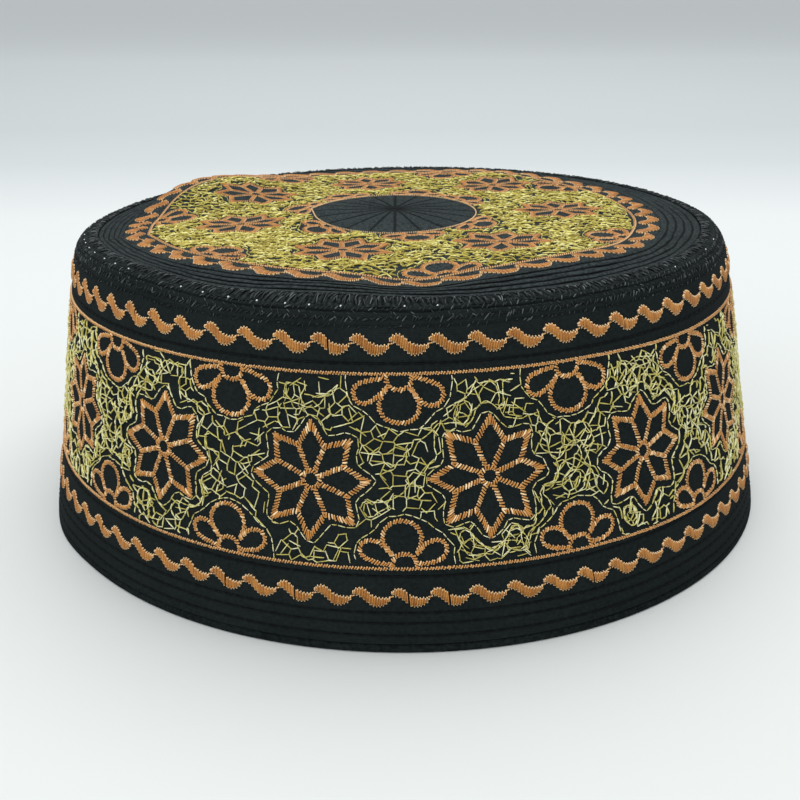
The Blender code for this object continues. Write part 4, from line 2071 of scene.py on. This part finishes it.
    def web(self) -> tuple[Stitches, Stitches]:
        """The running stitches round the motifs, and the network that fills the rest."""
        rng = np.random.default_rng(25)
        low, high = np.array([[0.0, self.lower_line], [self.cloth.around(), self.upper_line]])
        places = [(azimuth, up, 1.0, self.star, 64) for azimuth, up, _, _ in self.star_places]
        places += [(*place, 48) for place in self.flower_places]
        halos, contours = [], []
        for azimuth, up, way, motif, count in places:
            halo = motif.halo(rng)
            halos.append((self.cloth.at(azimuth, up, np.zeros(2)), halo, self.cloth.squeeze(up), way))
            batch = self.network.contour(self.cloth.at(azimuth, up, halo.points(count), way), rng)
            middles = (batch.start + batch.end)[:, 1] / 2
            room = np.minimum(middles - low[1], high[1] - middles)
            contours.append(batch.kept(room > self.contour_room))
        fill = self.fill(low, high, lambda chart: self.free(halos, chart), rng)
        return Stitches.joined(contours), fill


@dataclass
class CrownEmbroidery(Embroidery):
    """The embroidery of the crown: seven stars, two rings of half-flowers and a wave border.

    Stars are (x, y, own turn).
    """

    on: str = "crown"
    seed: int = 50
    # The crown's shade ranges sit lower than the band's: the same threads painted darker, as they are lit on
    # the crown
    looks: tuple[tuple[Thread, Pair], ...] = (
        (Thread.CROWN_GOLD, (0.1, 0.8)),
        (Thread.CROWN_GOLD, (-0.25, 1.0)),
        (Thread.ORANGE, (-0.2, 0.75)),
        (Thread.ORANGE, (-0.2, 0.75)),
        (Thread.ORANGE, (-0.2, 0.65)),
        (Thread.ORANGE_CROWN, (-0.2, 0.7)),
    )
    stars: tuple[Triple, ...] = (
        (-0.0412, 0.0255, 4.0), (-0.0410, -0.0099, 6.0), (-0.0141, -0.0399, -3.0),
        (0.0225, -0.0341, 0.0), (0.0403, 0.0031, 0.0), (0.0260, 0.0400, 0.0),
        (-0.0103, 0.0460, 0.0),
    )
    outer_azimuths: tuple[float, ...] = (-89.9, -43.0, 10.4, 59.2, 126.3, 164.7, -146.0)
    inner_azimuths: tuple[float, ...] = (-144.0, -101.0, -49.0, 10.9, 58.0, 127.5, 165.0)
    inner_size: float = 0.74
    waves: int = 48
    slip: Triple = (58.0, 19.0, 6.0)
    wave_azimuth: float = 1.6
    wave_out: float = 0.0033
    cords: tuple[Pair, ...] = ((0.0002, 0.00034), (0.00052, 0.00046))
    cord_pitch: float = 0.00054
    cord_slant: float = 35.0
    layers: tuple[WebLayer, ...] = (
        WebLayer(spacing=0.0023, kept=0.86, lift=0.0),
        WebLayer(spacing=0.0027, kept=0.36, lift=0.00014, patchy=0.25, room=0.0002),
    )
    wander: Wander = Wander(count=280, step=(0.0010, 0.0016))
    wrap: bool = False
    crossings: int = 160
    room: float = 0.0004
    contour_room: float = 0.0002
    star: StarMotif = StarMotif(outline=0.00128, halo_mean=0.0107, halo_wave=0.0013)
    hanging: HalfFlowerMotif = replace(HANGING_FLOWER, outline=0.00116)
    standing: HalfFlowerMotif = replace(STANDING_FLOWER, outline=0.00116)
    border: WaveBorder = WaveBorder(tall=1.25, slit_share=0.04)
    network: Network = Network(thread=0.00026, rise=0.00036)

    def __post_init__(self) -> None:
        """Set out the motifs: (motif, points of its loop, how its own points get to the chart)."""
        self.cloth = CrownCloth(self.form)
        self.inner, self.outer = Crown(self.form).inner_line, Crown(self.form).outer_line
        self.star_places = [(self.star, 64, self.star_way(star)) for star in self.stars]
        self.flower_places = []
        for azimuth in self.outer_azimuths:
            self.flower_places.append((self.hanging, 48, partial(self.outer.hung, azimuth)))
        for azimuth in self.inner_azimuths:
            at = partial(self.inner.stood, azimuth, size=self.inner_size)
            self.flower_places.append((self.standing, 48, at))

    def star_way(self, star: Triple):
        """How a star's points get to the chart: its first tip away from the middle, but for its turn."""
        x, y, twist = star
        turn = twist + math.degrees(math.atan2(-(x - self.outer.x), y - self.outer.y))
        return lambda local: np.array([x, y]) + local @ turned(turn)

    def stars_and_flowers(self) -> tuple[Stitches, Stitches]:
        """All stars, and all half-flowers of both rings."""
        rng = np.random.default_rng(42)
        stars = Stitches.joined([motif.draw(rng).moved(at) for motif, _, at in self.star_places])
        return stars, Stitches.joined([motif.draw(rng).moved(at) for motif, _, at in self.flower_places])

    def lines(self) -> Stitches:
        """The line round the disc and the one inside the border, each (width, thread)."""
        azimuth = np.linspace(0.0, TURN, 361)[:-1]
        batches = []
        for ring, (width, thread) in zip((self.inner, self.outer), self.cords):
            path = ring.point(azimuth)
            batches.append(satin(path, width, self.cord_pitch, self.cord_slant, closed=True, thread=thread))
        return Stitches.joined(batches)

    def borders(self) -> Stitches:
        """The wave border outside the outer line."""
        rng = np.random.default_rng(43)
        batches = []
        ring = replace(self.outer, radius=self.outer.radius + self.wave_out)
        azimuths = self.wave_azimuth + np.arange(self.waves + 1) * 360 / self.waves
        middle, width, height = self.slip
        azimuths = azimuths - height * bell(azimuths, middle, width)
        for azimuth, after in zip(azimuths, azimuths[1:]):
            drawn = self.border.draw(math.radians(after - azimuth) * ring.radius, rng)
            batches.append(drawn.moved(partial(ring.hung, azimuth)))
        return Stitches.joined(batches)

    def free(self, halos: list, chart: Array) -> Array:
        """How far chart points are from the nearest motif's loop or line, less than 0 inside."""
        nearest = (1 - self.outer.share(chart)) * self.outer.radius
        nearest = np.minimum(nearest, (self.inner.share(chart) - 1) * self.inner.radius - self.room)
        for halo in halos:
            nearest = np.minimum(nearest, halo.clearance(chart))
        return nearest

    def web(self) -> tuple[Stitches, Stitches]:
        """The running stitches round the motifs, and the network that fills the rest."""
        rng = np.random.default_rng(44)
        places = self.star_places + self.flower_places
        loops = [at(motif.halo(rng).points(count)) for motif, count, at in places]
        contours = []
        for loop in loops:
            batch = self.network.contour(loop, rng)
            contours.append(batch.kept(self.free([], (batch.start + batch.end) / 2) > self.contour_room))
        halos = [Halo.through(loop, loop.mean(axis=0)) for loop in loops]
        reach = np.array([self.outer.radius, self.outer.radius * self.outer.stretch])
        middle = np.array([self.outer.x, self.outer.y])
        fill = self.fill(middle - reach, middle + reach, lambda chart: self.free(halos, chart), rng)
        return Stitches.joined(contours), fill


# The studio


def hang(name: str, data: bpy.types.ID, place: Triple, turn: Euler) -> Piece:
    """Put a lamp or a camera in the scene."""
    holder = bpy.data.objects.new(name, data)
    holder.location = place
    holder.rotation_euler = turn
    bpy.context.scene.collection.objects.link(holder)
    return holder


@dataclass(frozen=True)
class SoftLight:
    """One square lamp that looks at the cap."""

    name: str
    place: Triple
    size: float
    power: float
    target: Triple = (0.0, 0.0, 0.04)

    def build(self) -> None:
        """Hang the lamp and turn it to the cap's middle."""
        lamp = bpy.data.lights.new(self.name, "AREA")
        lamp.shape = "SQUARE"
        lamp.size = self.size
        lamp.energy = self.power
        aim = Vector(self.target) - Vector(self.place)
        hang(self.name, lamp, self.place, aim.to_track_quat("-Z", "Y").to_euler())


@dataclass(frozen=True)
class Studio:
    """A pale floor with painted light and shade, soft light from above and the front, and the camera of the
    photograph.
    """

    floor_half: float = 9.0
    # Painted light and shade across the floor: a little lighter just behind the cap, darker from about 0.5
    # to 0.8 m behind it, lighter again further back
    floor_tones: tuple[tuple[float, Colour], ...] = (
        (0.0, (0.64, 0.665, 0.655)),
        (0.21, (0.67, 0.695, 0.69)),
        (0.27, (0.665, 0.69, 0.69)),
        (0.37, (0.55, 0.585, 0.59)),
        (0.47, (0.535, 0.57, 0.58)),
        (0.9, (0.69, 0.73, 0.74)),
    )
    sky: Colour = (0.88, 0.905, 0.915)
    sky_strength: float = 0.75
    camera_place: Triple = (-0.00128, -0.2909, 0.12705)
    pitch: float = 20.56
    roll: float = 0.29
    lens: float = 50.85
    lights: tuple[SoftLight, ...] = (
        SoftLight("overhead", (0.1, 0.25, 1.3), 1.4, 14.0),
        SoftLight("front_fill", (-0.5, -1.1, 0.7), 1.0, 7.0),
    )

    def floor(self) -> None:
        """The floor, a plain square with painted light and shade that change slowly from front to back."""
        half = self.floor_half
        points = np.array([[-half, -half, 0], [half, -half, 0], [half, half, 0], [-half, half, 0]], float)
        piece = add_mesh("floor", points, [np.array([[0, 1, 2, 3]])])
        finish = Finish("pale_floor")
        depth = (finish.axis(finish.spot(), 1) * 0.5 + 0.1).clamped()
        colour = finish.node("ShaderNodeValToRGB", {"stops": self.floor_tones}, {0: depth}, "Color")
        material = finish.feed({"Base Color": colour}, {"Roughness": 0.6, "Specular IOR Level": 0.3})
        piece.data.materials.append(material)

    def sky_light(self) -> None:
        """An even pale light from all round."""
        world = bpy.data.worlds.new("studio")
        world.use_nodes = True
        background = world.node_tree.nodes["Background"]
        background.inputs["Color"].default_value = (*self.sky, 1.0)
        background.inputs["Strength"].default_value = self.sky_strength
        bpy.context.scene.world = world

    def camera(self) -> None:
        """The camera that was fitted to the photograph."""
        lens = bpy.data.cameras.new("camera")
        lens.lens = self.lens
        lens.sensor_width = 36.0
        lens.clip_start = 0.01
        tilt = Euler((math.radians(90 - self.pitch), 0.0, 0.0)).to_matrix()
        twist = Euler((0.0, 0.0, math.radians(-self.roll))).to_matrix()
        turn = (tilt @ twist).to_euler()
        bpy.context.scene.camera = hang("camera", lens, self.camera_place, turn)

    def build(self) -> None:
        """Set up the whole studio, with colours shown as they are."""
        bpy.context.scene.view_settings.view_transform = "Standard"
        self.camera()
        self.floor()
        self.sky_light()
        for light in self.lights:
            light.build()


def main() -> None:
    """Build the studio and every piece of the cap, in order."""
    logging.basicConfig(level=logging.INFO, format="%(name)s: %(message)s")
    form = CapForm()
    wardrobe = Wardrobe()
    Studio().build()
    assemblies = (
        SideBand(form),
        HemEdging(form),
        Crown(form),
        CrownSeam(form),
        BandEmbroidery(form),
        CrownEmbroidery(form),
    )
    for assembly in assemblies:
        LOG.info("%s", type(assembly).__name__)
        assembly.dress(wardrobe)


if __name__ == "__main__":
    main()
